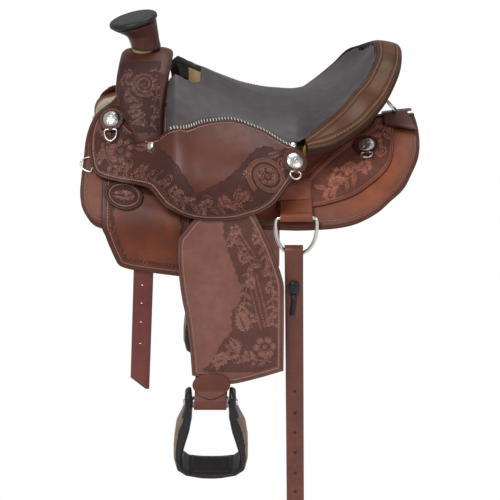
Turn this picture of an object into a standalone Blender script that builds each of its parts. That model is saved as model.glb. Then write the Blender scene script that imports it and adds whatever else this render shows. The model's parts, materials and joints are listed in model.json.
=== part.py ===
# Western stock saddle with a post horn, modelled in metres.
# +X points to the tail, +Y to the off (right) side, +Z up; the origin is the crest of the
# horse's back under the middle of the saddle.
import math

import bmesh
import bpy
import numpy as np
from mathutils import Matrix, Vector

# Leather, fleece and clearances
GAP = 0.0004
SWING_GAP = 0.0008
SEAM_GAP = 0.0012
FLEECE = 0.012
SKIRT = 0.005
RIGGING = 0.004
HOUSING = 0.0045
KEEPER = 0.0035
STRAP = 0.004
FENDER = 0.0042
JOCKEY = 0.0045
SEAT_PADDING = 0.013
SEAT_EDGE = 0.0045
COVER = 0.0045
CONNECTOR = 0.005

# Layers outwards from the horse, as lifts from the back
SKIRT_LOW = FLEECE + GAP
SKIRT_HIGH = SKIRT_LOW + SKIRT
RIG_LOW = SKIRT_HIGH + GAP
RIG_HIGH = RIG_LOW + RIGGING
HOUSING_HIGH = RIG_LOW + HOUSING
KEEPER_LOW = RIG_HIGH + GAP
KEEPER_HIGH = KEEPER_LOW + KEEPER

# Fenders and stirrup leathers hang in a plane that leans out from the saddle
LEAN = math.radians(3.5)
HANG_X = -0.055
HANG_Z = -0.088
LEATHER_WIDTH = 0.0627
BACK_HEM = 0.183
HEM_BEND = 0.010
HEM_FALL = 50.0
HANG_BASE = BACK_HEM + HEM_BEND * math.cos(math.radians(HEM_FALL)) / 2
LEATHER_IN = HANG_BASE + RIG_HIGH + SWING_GAP + math.sin(LEAN) * LEATHER_WIDTH / 2
FENDER_IN = 2 * STRAP + GAP
LIP = LEATHER_IN + FENDER_IN + FENDER + SWING_GAP + JOCKEY

# Tree
BAR_INNER = 0.036
BAR_OUTER = 0.134
BAR_FRONT = -0.252
BAR_REAR = 0.186
BAR_THICK = 0.024
BAR_SUNK = 0.0015
FORK_FRONT = -0.252
FORK_REAR = -0.160
FORK_TOP = 0.172
FORK_HALF_WIDTH = 0.133
GULLET_TOP = 0.122

# Horn
HORN_CAP_RADIUS = 0.0468
HORN_CAP_THICKNESS = 0.013
HORN_CAP_CENTRE = Vector((-0.2193, 0.0, 0.2268))
HORN_TILT = math.radians(13.5)
HORN_CORE_RADIUS = 0.020
HORN_FOOT = Vector((-0.1965, 0.0, 0.150))

# Hand hole behind the fork
HAND_HOLE_FRONT = -0.160
HAND_HOLE_REAR = -0.094
HAND_HOLE_WIDTH = 0.114

# Stirrup
ROLLER_RADIUS = 0.011
ROLLER_DROP = 0.367
STIRRUP_X = -0.0755
BOLT_RADIUS = 0.0038
TREAD_PAD = 0.0025

# Rear rigging
RING_WIRE = 0.004
RING_WIDTH = 0.078
RING_HEIGHT = 0.0745
RING_X = 0.0855
RING_Z = -0.0885
RING_Y = BACK_HEM + 0.003 + SKIRT_HIGH * math.sin(math.radians(HEM_FALL)) + RING_WIRE + 0.0025
TAB_LEATHER = 0.004
TAB_WIDTH = 0.060
BILLET_WIDTH = 0.0344
BILLET = 0.0035
BILLET_SLACK = 0.0036
BILLET_TIP = {-1: -0.735, 1: -0.283}

# Front rigging
LATIGO_WIDTH = 0.037
LATIGO = 0.003
RIG_RING_WIRE = 0.003
RIG_RING_X = -0.198
RIG_RING_BAR_Z = -0.171

# Silver and small dees
CONCHO_RADIUS = 0.016
ROSETTE_RADIUS = 0.0245
ROSETTE = 0.0025
DEE_WIRE = 0.0020
DEE_KEEPER = 0.0066

# Colours with roughness and metallic values
MATERIALS = {
    "tooled leather": ((0.155, 0.062, 0.048), 0.5, 0.0),
    "skirting": ((0.19, 0.075, 0.045), 0.5, 0.0),
    "seat leather": ((0.075, 0.068, 0.073), 0.42, 0.0),
    "roll leather": ((0.24, 0.125, 0.055), 0.5, 0.0),
    "latigo leather": ((0.16, 0.045, 0.035), 0.5, 0.0),
    "fleece": ((0.72, 0.66, 0.54), 0.95, 0.0),
    "rawhide": ((0.68, 0.53, 0.27), 0.6, 0.0),
    "black leather": ((0.035, 0.034, 0.037), 0.45, 0.0),
    "silver": ((0.75, 0.74, 0.70), 0.25, 1.0),
}

# The horse's back under the fleece, front to rear. Each row: x, crest height, crest fall in
# degrees, hem half width, hem height, hem fall in degrees, crest handle, hem handle.
BACK_STATIONS = [
    (-0.33, 0.094, 44, BACK_HEM, -0.107, 52, 0.09, 0.09),
    (-0.20, 0.058, 32, BACK_HEM, -0.117, 52, 0.09, 0.09),
    (0.00, 0.000, 12, BACK_HEM, -0.122, HEM_FALL, 0.08, 0.08),
    (0.09, 0.001, 11, BACK_HEM + 0.003, -0.122, 49, 0.08, 0.08),
    (0.20, 0.009, 10, BACK_HEM + 0.008, -0.116, 47, 0.08, 0.08),
    (0.34, 0.025, 10, BACK_HEM + 0.015, -0.103, 44, 0.08, 0.08),
]
# The outside of the seat and its jockeys, in the same terms
SEAT_STATIONS = [
    (-0.300, 0.1300, 40, 0.165, -0.036, 49, 0.08, 0.08),
    (-0.230, 0.1420, 42, 0.172, -0.045, 56, 0.08, 0.07),
    (-0.180, 0.1540, 34, LIP - 0.029, -0.048, 74, 0.07, 0.07),
    (-0.145, 0.1665, 12, LIP - 0.004, -0.044, 87, 0.075, 0.07),
    (-0.115, 0.1495, 10, LIP, -0.042, 90, 0.08, 0.07),
    (-0.080, 0.1290, 9, LIP, -0.042, 90, 0.085, 0.07),
    (-0.040, 0.1105, 7, LIP, -0.042, 90, 0.09, 0.07),
    (0.000, 0.0900, 4, LIP, -0.042, 90, 0.1, 0.07),
    (0.040, 0.0775, 0, LIP - 0.002, -0.043, 88, 0.1, 0.07),
    (0.090, 0.0775, 0, LIP - 0.014, -0.060, 72, 0.11, 0.09),
    (0.130, 0.0800, 0, LIP - 0.021, -0.065, 66, 0.11, 0.09),
]
# The forms' grids start here and reach over the whole saddle; steps along x and down the side
GRID_START = -0.35
GRID_LENGTH = 0.72
GRID_DEPTH = 0.40
BACK_STEPS = (0.058, 0.040)
SEAT_STEPS = (0.042, 0.030)

# Blanks, as x and drop from the crest line; a third value of 1 marks a sharp corner
SKIRT_BLANK = [
    (-0.252, 0.002, 1), (-0.261, 0.020), (-0.2915, 0.055), (-0.307, 0.100), (-0.3115, 0.149),
    (-0.315, 0.191), (-0.316, 0.217), (-0.3125, 0.241), (-0.3055, 0.253), (-0.2905, 0.266),
    (-0.27, 0.269), (-0.20, 0.2545), (-0.10, 0.2365), (0.00, 0.2235), (0.055, 0.2240),
    (0.09, 0.2262), (0.128, 0.2275), (0.168, 0.2275), (0.2015, 0.2237), (0.238, 0.2103),
    (0.265, 0.189), (0.2865, 0.170), (0.302, 0.1415), (0.315, 0.112), (0.320, 0.083),
    (0.3205, 0.045), (0.317, 0.002, 1),
]
REAR_JOCKEY_BLANK = [
    (0.2420, 0.003, 1), (0.2315, 0.030), (0.209, 0.0485), (0.184, 0.064), (0.158, 0.085),
    (0.132, 0.109), (0.108, 0.134, 1), (0.052, 0.150, 1), (0.050, 0.1948, 1), (0.1186, 0.193),
    (0.1464, 0.1892), (0.191, 0.178), (0.2254, 0.1566), (0.2513, 0.135), (0.2661, 0.110),
    (0.2725, 0.069), (0.2735, 0.003, 1),
]
RIG_BLANK = [
    (-0.2745, 0.172, 1), (-0.2745, 0.267), (-0.2685, 0.277), (-0.2505, 0.3235),
    (-0.2425, 0.334), (-0.2185, 0.337), (-0.1795, 0.3355), (-0.134, 0.3325),
    (-0.104, 0.330, 1), (-0.104, 0.172, 1),
]
KEEPER_OVAL = (-0.2335, 0.2085, 0.0355, 0.0285, -0.20)
SEAM = [
    (-0.1553, 0.1843), (-0.1243, 0.1816), (-0.0916, 0.1526), (-0.0648, 0.1366), (-0.0389, 0.1235),
    (-0.0185, 0.1205), (0.0055, 0.1252), (0.0295, 0.1342), (0.0535, 0.152), (0.0755, 0.1622),
    (0.0865, 0.1556),
]
JOCKEY_FRONT = [
    (-0.26, 0.0805, 1), (-0.284, 0.0959), (-0.297, 0.123), (-0.3005, 0.159), (-0.297, 0.192),
    (-0.2895, 0.2145), (-0.2725, 0.2278), (-0.22, 0.2484), (-0.1905, 0.2674), (-0.181, 0.2798),
    (-0.167, 0.308), (-0.152, 0.3333), (-0.128, 0.35), (-0.096, 0.3477), (-0.073, 0.3435),
    (-0.0255, 0.3298), (-0.002, 0.3181), (0.0155, 0.3103), (0.0375, 0.2929), (0.053, 0.273),
    (0.071, 0.2432), (0.084, 0.2216), (0.0915, 0.19),
]
JOCKEY_UNDER_FORK = [
    (-0.1659, 0.1843), (-0.1853, 0.1743), (-0.2126, 0.1475), (-0.2342, 0.1205),
    (-0.2485, 0.085, 1),
]

# Rim of the cantle from the middle to the front corner: the seat's edge, and the roll's edge
RIM = [
    (0.2370, 0.000, 0.1830), (0.2352, 0.050, 0.1715), (0.2135, 0.105, 0.1467),
    (0.1900, 0.131, 0.1290), (0.1640, 0.141, 0.0985), (0.1330, 0.140, 0.0715),
    (0.1010, 0.146, 0.0440),
]
ROLL_EDGE = [
    (0.2865, 0.000, 0.1720), (0.2785, 0.076, 0.1573), (0.2530, 0.137, 0.1255),
    (0.2303, 0.158, 0.1012), (0.2040, 0.169, 0.0769), (0.1546, 0.168, 0.0418),
    (0.1075, 0.170, 0.0302),
]
CANTLE_FOOT = [
    (0.2380, 0.000), (0.2270, 0.027), (0.2050, 0.045), (0.1800, 0.060), (0.1550, 0.080),
    (0.1290, 0.104), (0.1050, 0.126),
]
# Middle line of the seat up the cantle, paired with the rim points from front to rear
SEAT_RISE = [
    (0.1150, 0.0810), (0.1350, 0.0865), (0.1600, 0.0960), (0.1880, 0.1160), (0.2110, 0.1430),
    (0.2270, 0.1660), (0.2370, 0.1830),
]


def wipe_scene():
    for item in list(bpy.data.objects):
        bpy.data.objects.remove(item, do_unlink=True)


def collection(name):
    made = bpy.data.collections.new(name)
    bpy.context.scene.collection.children.link(made)
    return made


wipe_scene()
saddle = collection("wade saddle")
cutters = collection("cutters")


def material(name):
    found = bpy.data.materials.get(name)
    if found:
        return found
    colour, roughness, metallic = MATERIALS[name]
    made = bpy.data.materials.new(name)
    made.use_nodes = True
    shader = made.node_tree.nodes["Principled BSDF"]
    shader.inputs["Base Color"].default_value = (*colour, 1)
    shader.inputs["Roughness"].default_value = roughness
    shader.inputs["Metallic"].default_value = metallic
    return made


def hermite(rows, x):
    """Smooth values between the rows of a table whose first column is x."""
    places = [row[0] for row in rows]
    values = np.array([row[1:] for row in rows], float)
    if x <= places[0]:
        return values[0]
    if x >= places[-1]:
        return values[-1]
    last = len(rows) - 1
    i = max(k for k in range(last) if places[k] <= x)

    def slope(k):
        before, after = max(k - 1, 0), min(k + 1, last)
        return (values[after] - values[before]) / (places[after] - places[before])

    span = places[i + 1] - places[i]
    t = (x - places[i]) / span
    return ((2 * t**3 - 3 * t**2 + 1) * values[i] + (t**3 - 2 * t**2 + t) * span * slope(i)
            + (3 * t**2 - 2 * t**3) * values[i + 1] + (t**3 - t**2) * span * slope(i + 1))


class Form:
    """A saddle-shaped surface that flat leather is bent over, in x and drop from the crest."""

    def __init__(self, stations, steps, bend=None):
        self.stations = stations
        self.bend = bend
        self.step_x, self.step_drop = steps
        self.columns = math.ceil(GRID_LENGTH / self.step_x) + 1
        self.rows = math.ceil(GRID_DEPTH / self.step_drop) + 1
        self.points = np.zeros((self.columns, self.rows, 2))
        self.normals = np.zeros((self.columns, self.rows, 2))
        for i in range(self.columns):
            curve, length = self.section(GRID_START + i * self.step_x)
            for j in range(self.rows):
                drop = j * self.step_drop
                nearby = 0.003
                before = self.along(curve, length, max(0.0, drop - nearby))
                after = self.along(curve, length, drop + nearby)
                run = (after - before) / np.linalg.norm(after - before)
                self.points[i, j] = self.along(curve, length, drop)
                self.normals[i, j] = (-run[1], run[0])

    def section(self, x):
        crest, fall, half, low, hem_fall, top_handle, hem_handle = hermite(self.stations, x)
        fall, hem_fall = math.radians(fall), math.radians(hem_fall)
        a = np.array([0.0, crest])
        d = np.array([half, low])
        b = a + top_handle * np.array([math.cos(fall), -math.sin(fall)])
        c = d - hem_handle * np.array([math.cos(hem_fall), -math.sin(hem_fall)])
        t = np.linspace(0, 1, 29)[:, None]
        curve = list((1 - t)**3 * a + 3 * (1 - t)**2 * t * b + 3 * (1 - t) * t * t * c + t**3 * d)
        step = 0.005
        for k in range(60):
            turned = min(1.0, (k + 0.5) * step / self.bend) if self.bend else 0.0
            angle = hem_fall + (math.pi / 2 - hem_fall) * turned
            curve.append(curve[-1] + step * np.array([math.cos(angle), -math.sin(angle)]))
        curve = np.array(curve)
        steps = np.linalg.norm(np.diff(curve, axis=0), axis=1)
        return curve, np.concatenate([[0], np.cumsum(steps)])

    def along(self, curve, length, drop):
        return np.array([np.interp(drop, length, curve[:, 0]), np.interp(drop, length, curve[:, 1])])

    def place(self, x, drop, lift, side=1):
        """The point at x and drop, lifted off the form; side is 1 for off and -1 for near."""
        i = min(max(int((x - GRID_START) / self.step_x), 0), self.columns - 2)
        j = min(max(int(drop / self.step_drop), 0), self.rows - 2)
        u = (x - GRID_START) / self.step_x - i
        v = drop / self.step_drop - j

        def mix(field):
            if u + v < 1:
                return (field[i, j] + u * (field[i + 1, j] - field[i, j])
                        + v * (field[i, j + 1] - field[i, j]))
            return (field[i + 1, j + 1] + (1 - u) * (field[i, j + 1] - field[i + 1, j + 1])
                    + (1 - v) * (field[i + 1, j] - field[i + 1, j + 1]))

        y, z = mix(self.points) + lift * mix(self.normals)
        return Vector((x, side * y, z))

    def frame(self, x, drop, lift, side=1):
        """Origin and axes on the form: along x, down the slope, and outwards."""
        here = self.place(x, drop, lift, side)
        down = (self.place(x, drop + 0.004, lift, side) - self.place(x, drop - 0.004, lift, side))
        down.normalize()
        ahead = self.place(x + 0.004, drop, lift, side) - self.place(x - 0.004, drop, lift, side)
        ahead.normalize()
        out = ahead.cross(down)
        if out.z < 0:
            out = -out
        out.normalize()
        down = (down - ahead * down.dot(ahead)).normalized()
        return here, ahead, down, out


def resting_frame(form, x, drop, lift, side, radius):
    """Frame of a flat disc resting on the form, raised to clear it all round."""
    here = form.place(x, drop, lift, side)
    rim = [form.place(x + radius * math.cos(a), drop + radius * math.sin(a), lift, side)
           for a in (math.radians(30 * k) for k in range(12))]
    out = Vector((0, 0, 0))
    for k in range(12):
        out += (rim[k] - here).cross(rim[(k + 1) % 12] - here)
    out.normalize()
    if out.z < 0:
        out = -out
    ahead = (Vector((1, 0, 0)) - out * out.x).normalized()
    down = out.cross(ahead)
    if down.z > 0:
        down = -down
    clear = max(0.0, max((p - here).dot(out) for p in rim)) + GAP
    return here + out * clear, ahead, down, out


back = Form(BACK_STATIONS, BACK_STEPS, bend=HEM_BEND)
outside = Form(SEAT_STATIONS, SEAT_STEPS)


def smooth_loop(points, step=0.020):
    """Closed outline through the points; corners stay sharp and the rest is curved."""
    count = len(points)
    made = []
    for i in range(count):
        p0, p1, p2, p3 = (np.array(points[(i + k) % count][:2], float) for k in (-1, 0, 1, 2))
        sharp1 = len(points[i]) > 2
        sharp2 = len(points[(i + 1) % count]) > 2
        run = p2 - p1
        m1 = run if sharp1 else (p2 - p0) / 2
        m2 = run if sharp2 else (p3 - p1) / 2
        longest = np.linalg.norm(run)
        m1 = m1 * min(1.0, longest / max(np.linalg.norm(m1), 1e-9))
        m2 = m2 * min(1.0, longest / max(np.linalg.norm(m2), 1e-9))
        pieces = 1 if sharp1 and sharp2 else max(1, round(longest / step))
        for k in range(pieces):
            t = k / pieces
            made.append((2 * t**3 - 3 * t**2 + 1) * p1 + (t**3 - 2 * t**2 + t) * m1
                        + (3 * t**2 - 2 * t**3) * p2 + (t**3 - t**2) * m2)
    return [tuple(p) for p in made]


def inset_loop(loop, distance):
    """The outline moved inwards by a distance."""
    points = np.array(loop)
    area = 0.5 * np.sum(points[:, 0] * np.roll(points[:, 1], -1)
                        - np.roll(points[:, 0], -1) * points[:, 1])
    turn = 1.0 if area > 0 else -1.0
    made = []
    for i in range(len(points)):
        before = points[i] - points[i - 1]
        after = points[(i + 1) % len(points)] - points[i]
        normal = (before / np.linalg.norm(before) + after / np.linalg.norm(after))
        normal = np.array([-normal[1], normal[0]]) * turn
        made.append(tuple(points[i] + distance * normal / max(np.linalg.norm(normal), 1e-9)))
    return made


def oval_loop(centre_x, centre_drop, half_x, half_drop, tilt, count=16):
    made = []
    for k in range(count):
        a = 2 * math.pi * k / count
        u, v = half_x * math.cos(a), half_drop * math.sin(a)
        made.append((centre_x + u * math.cos(tilt) - v * math.sin(tilt),
                     centre_drop + u * math.sin(tilt) + v * math.cos(tilt)))
    return made


def new_object(name, mesh, look, origin=None):
    """Link a mesh made in world coordinates, with its origin moved to a chosen point."""
    if origin is not None:
        mesh.transform(Matrix.Translation(-Vector(origin)))
    made = bpy.data.objects.new(name, mesh)
    if origin is not None:
        made.location = origin
    saddle.objects.link(made)
    if look:
        mesh.materials.clear()
        mesh.materials.append(material(look))
    mesh.shade_smooth()
    mesh.set_sharp_from_angle(angle=math.radians(35))
    return made


def as_mesh(bm, name, turn_out=True):
    if turn_out:
        bmesh.ops.recalc_face_normals(bm, faces=bm.faces)
        if bm.calc_volume(signed=True) < 0:
            bmesh.ops.reverse_faces(bm, faces=bm.faces)
    mesh = bpy.data.meshes.new(name)
    bm.to_mesh(mesh)
    bm.free()
    return mesh


def score(bm, form):
    """Cut a flat blank along the form's grid and its diagonals, so that it bends as the form."""
    wide, deep = form.step_x, form.step_drop
    columns = [(v.co.x - GRID_START) / wide for v in bm.verts]
    rows = [v.co.y / deep for v in bm.verts]
    both = [a + b for a, b in zip(columns, rows)]
    for values, along_x, along_drop in ((columns, 1, 0), (rows, 0, 1), (both, 1, 1)):
        for k in range(math.ceil(min(values) + 1e-3), math.floor(max(values) - 1e-3) + 1):
            point = (k * wide * along_x + GRID_START, 0 if along_x else k * deep, 0)
            across = Vector((along_x / wide, along_drop / deep, 0)).normalized()
            bmesh.ops.bisect_plane(bm, geom=bm.verts[:] + bm.edges[:] + bm.faces[:], dist=2e-5,
                                   plane_co=point, plane_no=across)


def thicken(bm, name, bend_to, low, high):
    """Give a flat blank its two lifts and bend it to its shape."""
    bm.normal_update()
    bmesh.ops.triangulate(bm, faces=bm.faces[:])
    lower = list(bm.verts)
    made = bmesh.ops.extrude_face_region(bm, geom=bm.faces[:])
    upper = [v for v in made["geom"] if isinstance(v, bmesh.types.BMVert)]
    for verts, lift in ((lower, low), (upper, high)):
        for vert in verts:
            x, drop = vert.co.x, vert.co.y
            vert.co = bend_to(x, drop, lift(x, drop) if callable(lift) else lift)
    return as_mesh(bm, name)


def flat_mesh(name, loop, bend_to, low, high):
    bm = bmesh.new()
    bm.faces.new([bm.verts.new((x, drop, 0)) for x, drop in loop])
    return thicken(bm, name, bend_to, low, high)


def bent_mesh(name, form, loop, low, high, side):
    """Cut a blank to an outline, score it on the form's grid and bend it over the form."""
    bm = bmesh.new()
    bm.faces.new([bm.verts.new((x, drop, 0)) for x, drop in loop])
    score(bm, form)
    return thicken(bm, name, lambda x, drop, lift: form.place(x, drop, lift, side), low, high)


def leather(name, form, loop, low, high, look, side):
    return new_object(name, bent_mesh(name, form, loop, low, high, side), look)


def loft_mesh(name, rings, striped=False):
    """Skin equal rings of points and cap the ends, in level strips for rings with two halves."""
    bm = bmesh.new()
    rows = [[bm.verts.new(p) for p in ring] for ring in rings]
    for a, b in zip(rows, rows[1:]):
        for j in range(len(a)):
            k = (j + 1) % len(a)
            if (a[j].co - b[k].co).length <= (a[k].co - b[j].co).length:
                bm.faces.new((a[j], a[k], b[k]))
                bm.faces.new((a[j], b[k], b[j]))
            else:
                bm.faces.new((a[j], a[k], b[j]))
                bm.faces.new((a[k], b[k], b[j]))
    count = len(rows[0])
    for row in (rows[0], rows[-1]):
        if not striped:
            bm.faces.new(row)
            continue
        bm.faces.new((row[0], row[1], row[-1]))
        for j in range(1, count // 2 - 1):
            bm.faces.new((row[j], row[j + 1], row[count - j - 1], row[count - j]))
        bm.faces.new((row[count // 2 - 1], row[count // 2], row[count // 2 + 1]))
    bm.normal_update()
    bmesh.ops.triangulate(bm, faces=bm.faces[:])
    return as_mesh(bm, name)


def turned(name, profile, matrix, steps, look):
    """Turn a profile of radius and height about its Z axis with a Screw modifier."""
    mesh = bpy.data.meshes.new(name)
    verts = [(radius, 0.0, height) for radius, height in profile]
    mesh.from_pydata(verts, [(i, i + 1) for i in range(len(verts) - 1)], [])
    made = bpy.data.objects.new(name, mesh)
    made.matrix_world = matrix
    saddle.objects.link(made)
    screw = made.modifiers.new("turn", "SCREW")
    screw.axis = "Z"
    screw.steps = steps
    screw.render_steps = steps
    screw.use_merge_vertices = True
    screw.merge_threshold = 0.00005
    screw.use_normal_calculate = True
    if look:
        mesh.materials.append(material(look))
    return made


def settled(item, keep_name=None, look=None, origin=None):
    """The object's evaluated shape as a plain mesh object in world coordinates."""
    bpy.context.view_layer.update()
    graph = bpy.context.evaluated_depsgraph_get()
    mesh = bpy.data.meshes.new_from_object(item.evaluated_get(graph))
    mesh.transform(item.matrix_world)
    bm = bmesh.new()
    bm.from_mesh(mesh)
    bmesh.ops.remove_doubles(bm, verts=bm.verts, dist=0.00001)
    bmesh.ops.recalc_face_normals(bm, faces=bm.faces)
    bm.to_mesh(mesh)
    bm.free()
    name = keep_name or item.name
    bpy.data.objects.remove(item, do_unlink=True)
    return new_object(name, mesh, look, origin)


def wire(name, points, radius, look, origin, sides=2):
    """A closed ring of round wire, its origin on its hinge."""
    curve = bpy.data.curves.new(name, "CURVE")
    curve.dimensions = "3D"
    curve.bevel_depth = radius
    curve.bevel_resolution = sides
    curve.use_fill_caps = True
    spline = curve.splines.new("POLY")
    spline.points.add(len(points) - 1)
    for point, place in zip(spline.points, points):
        point.co = (*(Vector(place) - Vector(origin)), 1)
    spline.use_cyclic_u = True
    made = bpy.data.objects.new(name, curve)
    made.location = origin
    saddle.objects.link(made)
    curve.materials.append(material(look))
    return made


def cutter(name, mesh):
    made = bpy.data.objects.new(name, mesh)
    cutters.objects.link(made)
    made.hide_render = True
    made.display_type = "WIRE"
    return made


def boolean(item, tool, operation, solver):
    modifier = item.modifiers.new(operation.lower() + " " + tool.name, "BOOLEAN")
    modifier.operation = operation
    modifier.solver = solver
    modifier.object = tool


def cut(item, *tools, solver="EXACT"):
    """Subtract each tool from the item, in order."""
    for tool in tools:
        boolean(item, tool, "DIFFERENCE", solver)


def fuse(item, *tools, solver="EXACT"):
    """Join each tool to the item, in order."""
    for tool in tools:
        boolean(item, tool, "UNION", solver)


def box_mesh(name, low, high):
    bm = bmesh.new()
    bmesh.ops.create_cube(bm, size=1)
    size = Vector(high) - Vector(low)
    middle = (Vector(high) + Vector(low)) / 2
    for vert in bm.verts:
        vert.co = Vector(c * s for c, s in zip(vert.co, size)) + middle
    return as_mesh(bm, name)


def rod_mesh(name, start, end, radius, sides=12):
    bm = bmesh.new()
    start, end = Vector(start), Vector(end)
    axis = end - start
    turn = axis.to_track_quat("Z", "Y").to_matrix().to_4x4()
    bmesh.ops.create_cone(bm, cap_ends=True, segments=sides, radius1=radius, radius2=radius,
                          depth=axis.length, matrix=Matrix.Translation((start + end) / 2) @ turn)
    return as_mesh(bm, name)


def join_meshes(name, meshes):
    """Several closed meshes in one, for cutters."""
    bm = bmesh.new()
    for mesh in meshes:
        bm.from_mesh(mesh)
    return as_mesh(bm, name, turn_out=False)


def d_loop(width, height, corner, count=12, fullness=2.0):
    """A D ring's centre line: a straight bar at height 0 and a bow below it."""
    made = []
    for first, centre in ((180, -width / 2 + corner), (90, width / 2 - corner)):
        for k in range(3):
            a = math.radians(first - 45 * k)
            made.append((centre + corner * math.cos(a), corner * math.sin(a) - corner))
    for k in range(1, count):
        a = math.pi * k / count
        u = math.copysign(abs(math.cos(a))**(2 / fullness), math.cos(a))
        v = math.sin(a)**(2 / fullness)
        made.append((width / 2 * u, -corner - (height - corner) * v))
    return made


SIDES = ((-1, "near"), (1, "off"))


# Tree: two bars, fork and cantle

def bar_lift(x, drop):
    """Height of the bar's upper face over the back, thinner at its edges and its tips."""
    t = (drop - BAR_INNER) / (BAR_OUTER - BAR_INNER)
    swell = max(0.0, math.sin(math.pi * min(max(t, 0.0), 1.0)))
    tip = min(1.0, max(0.0, min(x - BAR_FRONT, BAR_REAR - x) / 0.07))
    return RIG_LOW + BAR_THICK * (0.35 + 0.65 * swell) * (0.4 + 0.6 * tip)


def bar_loop():
    inner, outer, front, rear = BAR_INNER, BAR_OUTER, BAR_FRONT, BAR_REAR
    middle = (inner + outer) / 2
    return smooth_loop([
        (front, middle), (front + 0.012, inner + 0.010), (front + 0.05, inner), (-0.10, inner),
        (0.10, inner), (rear - 0.04, inner), (rear - 0.006, inner + 0.004), (rear, inner + 0.014),
        (rear - 0.016, inner + 0.022), (rear - 0.056, outer - 0.042),
        (rear - 0.088, outer - 0.018), (0.06, outer), (-0.02, outer - 0.006), (-0.12, outer),
        (front + 0.05, outer), (front + 0.012, outer - 0.012),
    ], 0.03)


def bar_mesh(side, grow=0.0, deep=0.0):
    """A bar, or its clearance grown all round and reaching down through the horse's back."""
    return bent_mesh("bar", back, inset_loop(bar_loop(), -grow), RIG_LOW - grow / 2 - deep,
                     lambda x, drop: bar_lift(x, drop) + grow, side)


bar_cutters = [cutter("bar clearance " + tag, bar_mesh(side, 2 * GAP)) for side, tag in SIDES]
deep_bar_cutters = [cutter("deep bar clearance " + tag, bar_mesh(side, 2 * GAP, deep=0.08))
                    for side, tag in SIDES]
under_bar_cutters = [cutter("space under bar " + tag, bent_mesh(
    "space under bar", back, inset_loop(bar_loop(), -2 * GAP), -0.06, RIG_LOW + BAR_SUNK, side))
    for side, tag in SIDES]

FORK_SHAPE = [
    (0.0, 0.0), (0.15038, -0.003), (0.34586, -0.013), (0.52632, -0.027), (0.66917, -0.052),
    (0.80451, -0.088), (0.92481, -0.118), (1.0, -0.140),
]
FORK_OUTLINE = [(share * FORK_HALF_WIDTH, height) for share, height in FORK_SHAPE]
GULLET_OUTLINE = [
    (0.0, 0.0), (0.020, 0.0), (0.038, -0.012), (0.052, -0.034), (0.062, -0.062), (0.068, -0.180),
]


def fork_half(x, inset, bottom):
    """Half profile of the fork's block, from its top to its foot and down to a flat bottom."""
    half = []
    points = [Vector(p) for p in FORK_OUTLINE]
    for i, point in enumerate(points):
        before = points[max(i - 1, 0)]
        after = points[min(i + 1, len(points) - 1)]
        run = (after - before).normalized()
        moved = point - Vector((-run.y, run.x)) * inset
        half.append((max(moved.x, 0.0), FORK_TOP + moved.y))
    foot = back.place(x, BAR_OUTER - 0.008 - inset, RIG_LOW + 0.003)
    return half + [(foot.y, foot.z), (foot.y, bottom), (0.0, bottom)]


def fork_mesh(name, inset, bottom=-0.014):
    """Loft the fork from its front face to its rear face with rounded edges."""
    stations = ((0.0, 0.011), (0.06, 0.004), (0.20, 0.0), (0.50, -0.001), (0.80, 0.0),
                (0.94, 0.004), (1.0, 0.011))
    rings = []
    for share, round_off in stations:
        ring = []
        middle = FORK_FRONT + share * (FORK_REAR - FORK_FRONT)
        half = fork_half(middle, inset + round_off, bottom)
        for y, z in half + [(-y, z) for y, z in reversed(half[1:-1])]:
            height = max(0.0, (z - 0.10) / (FORK_TOP - 0.10))
            low = max(0.0, 0.096 - z)
            front = FORK_FRONT + inset + 0.011 * height**2 + 0.62 * min(low, 0.06)
            rear = FORK_REAR - inset + 0.018 * height
            ring.append((front + share * (rear - front), y, z))
        rings.append(ring)
    return loft_mesh(name, rings, striped=True)


def gullet_mesh():
    half = [(y, GULLET_TOP + rise) for y, rise in GULLET_OUTLINE]
    ring = half + [(-y, z) for y, z in reversed(half[1:])]
    return loft_mesh("gullet", [[(x, y, z) for y, z in ring]
                                for x in (FORK_FRONT - 0.03, FORK_REAR + 0.03)])


fork_keepout = cutter("fork clearance", fork_mesh("fork clearance", -GAP, -0.020))
fork_core = cutter("fork core clearance", fork_mesh("fork core clearance", COVER, -0.020))
gullet = cutter("gullet", gullet_mesh())
horn_run = (HORN_CAP_CENTRE - HORN_FOOT).normalized()
neck_hole = cutter("horn core clearance", rod_mesh(
    "horn core clearance", HORN_FOOT - horn_run * GAP, HORN_CAP_CENTRE + horn_run * 0.02,
    HORN_CORE_RADIUS + GAP, 22))
cover = new_object("fork_cover", fork_mesh("fork_cover", 0.0), "tooled leather")
cut(cover, fork_core, gullet, neck_hole, *deep_bar_cutters)
tree_fork = cutter("fork wood", fork_mesh("fork wood", COVER + GAP))
cut(tree_fork, gullet, neck_hole, *under_bar_cutters)


# Horn: core, wrapped neck and cap

def horn_frame(centre):
    """Matrix whose Z axis is the tilted axis of the horn cap."""
    return Matrix.Translation(centre) @ Matrix.Rotation(-HORN_TILT, 4, "Y")


def tilted_ring(centre, radius, tilt, count=20):
    made = []
    for k in range(count):
        a = 2 * math.pi * k / count
        u, v = radius * math.cos(a), radius * math.sin(a)
        made.append((centre[0] + u * math.cos(tilt), v, centre[1] + u * math.sin(tilt)))
    return made


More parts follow.
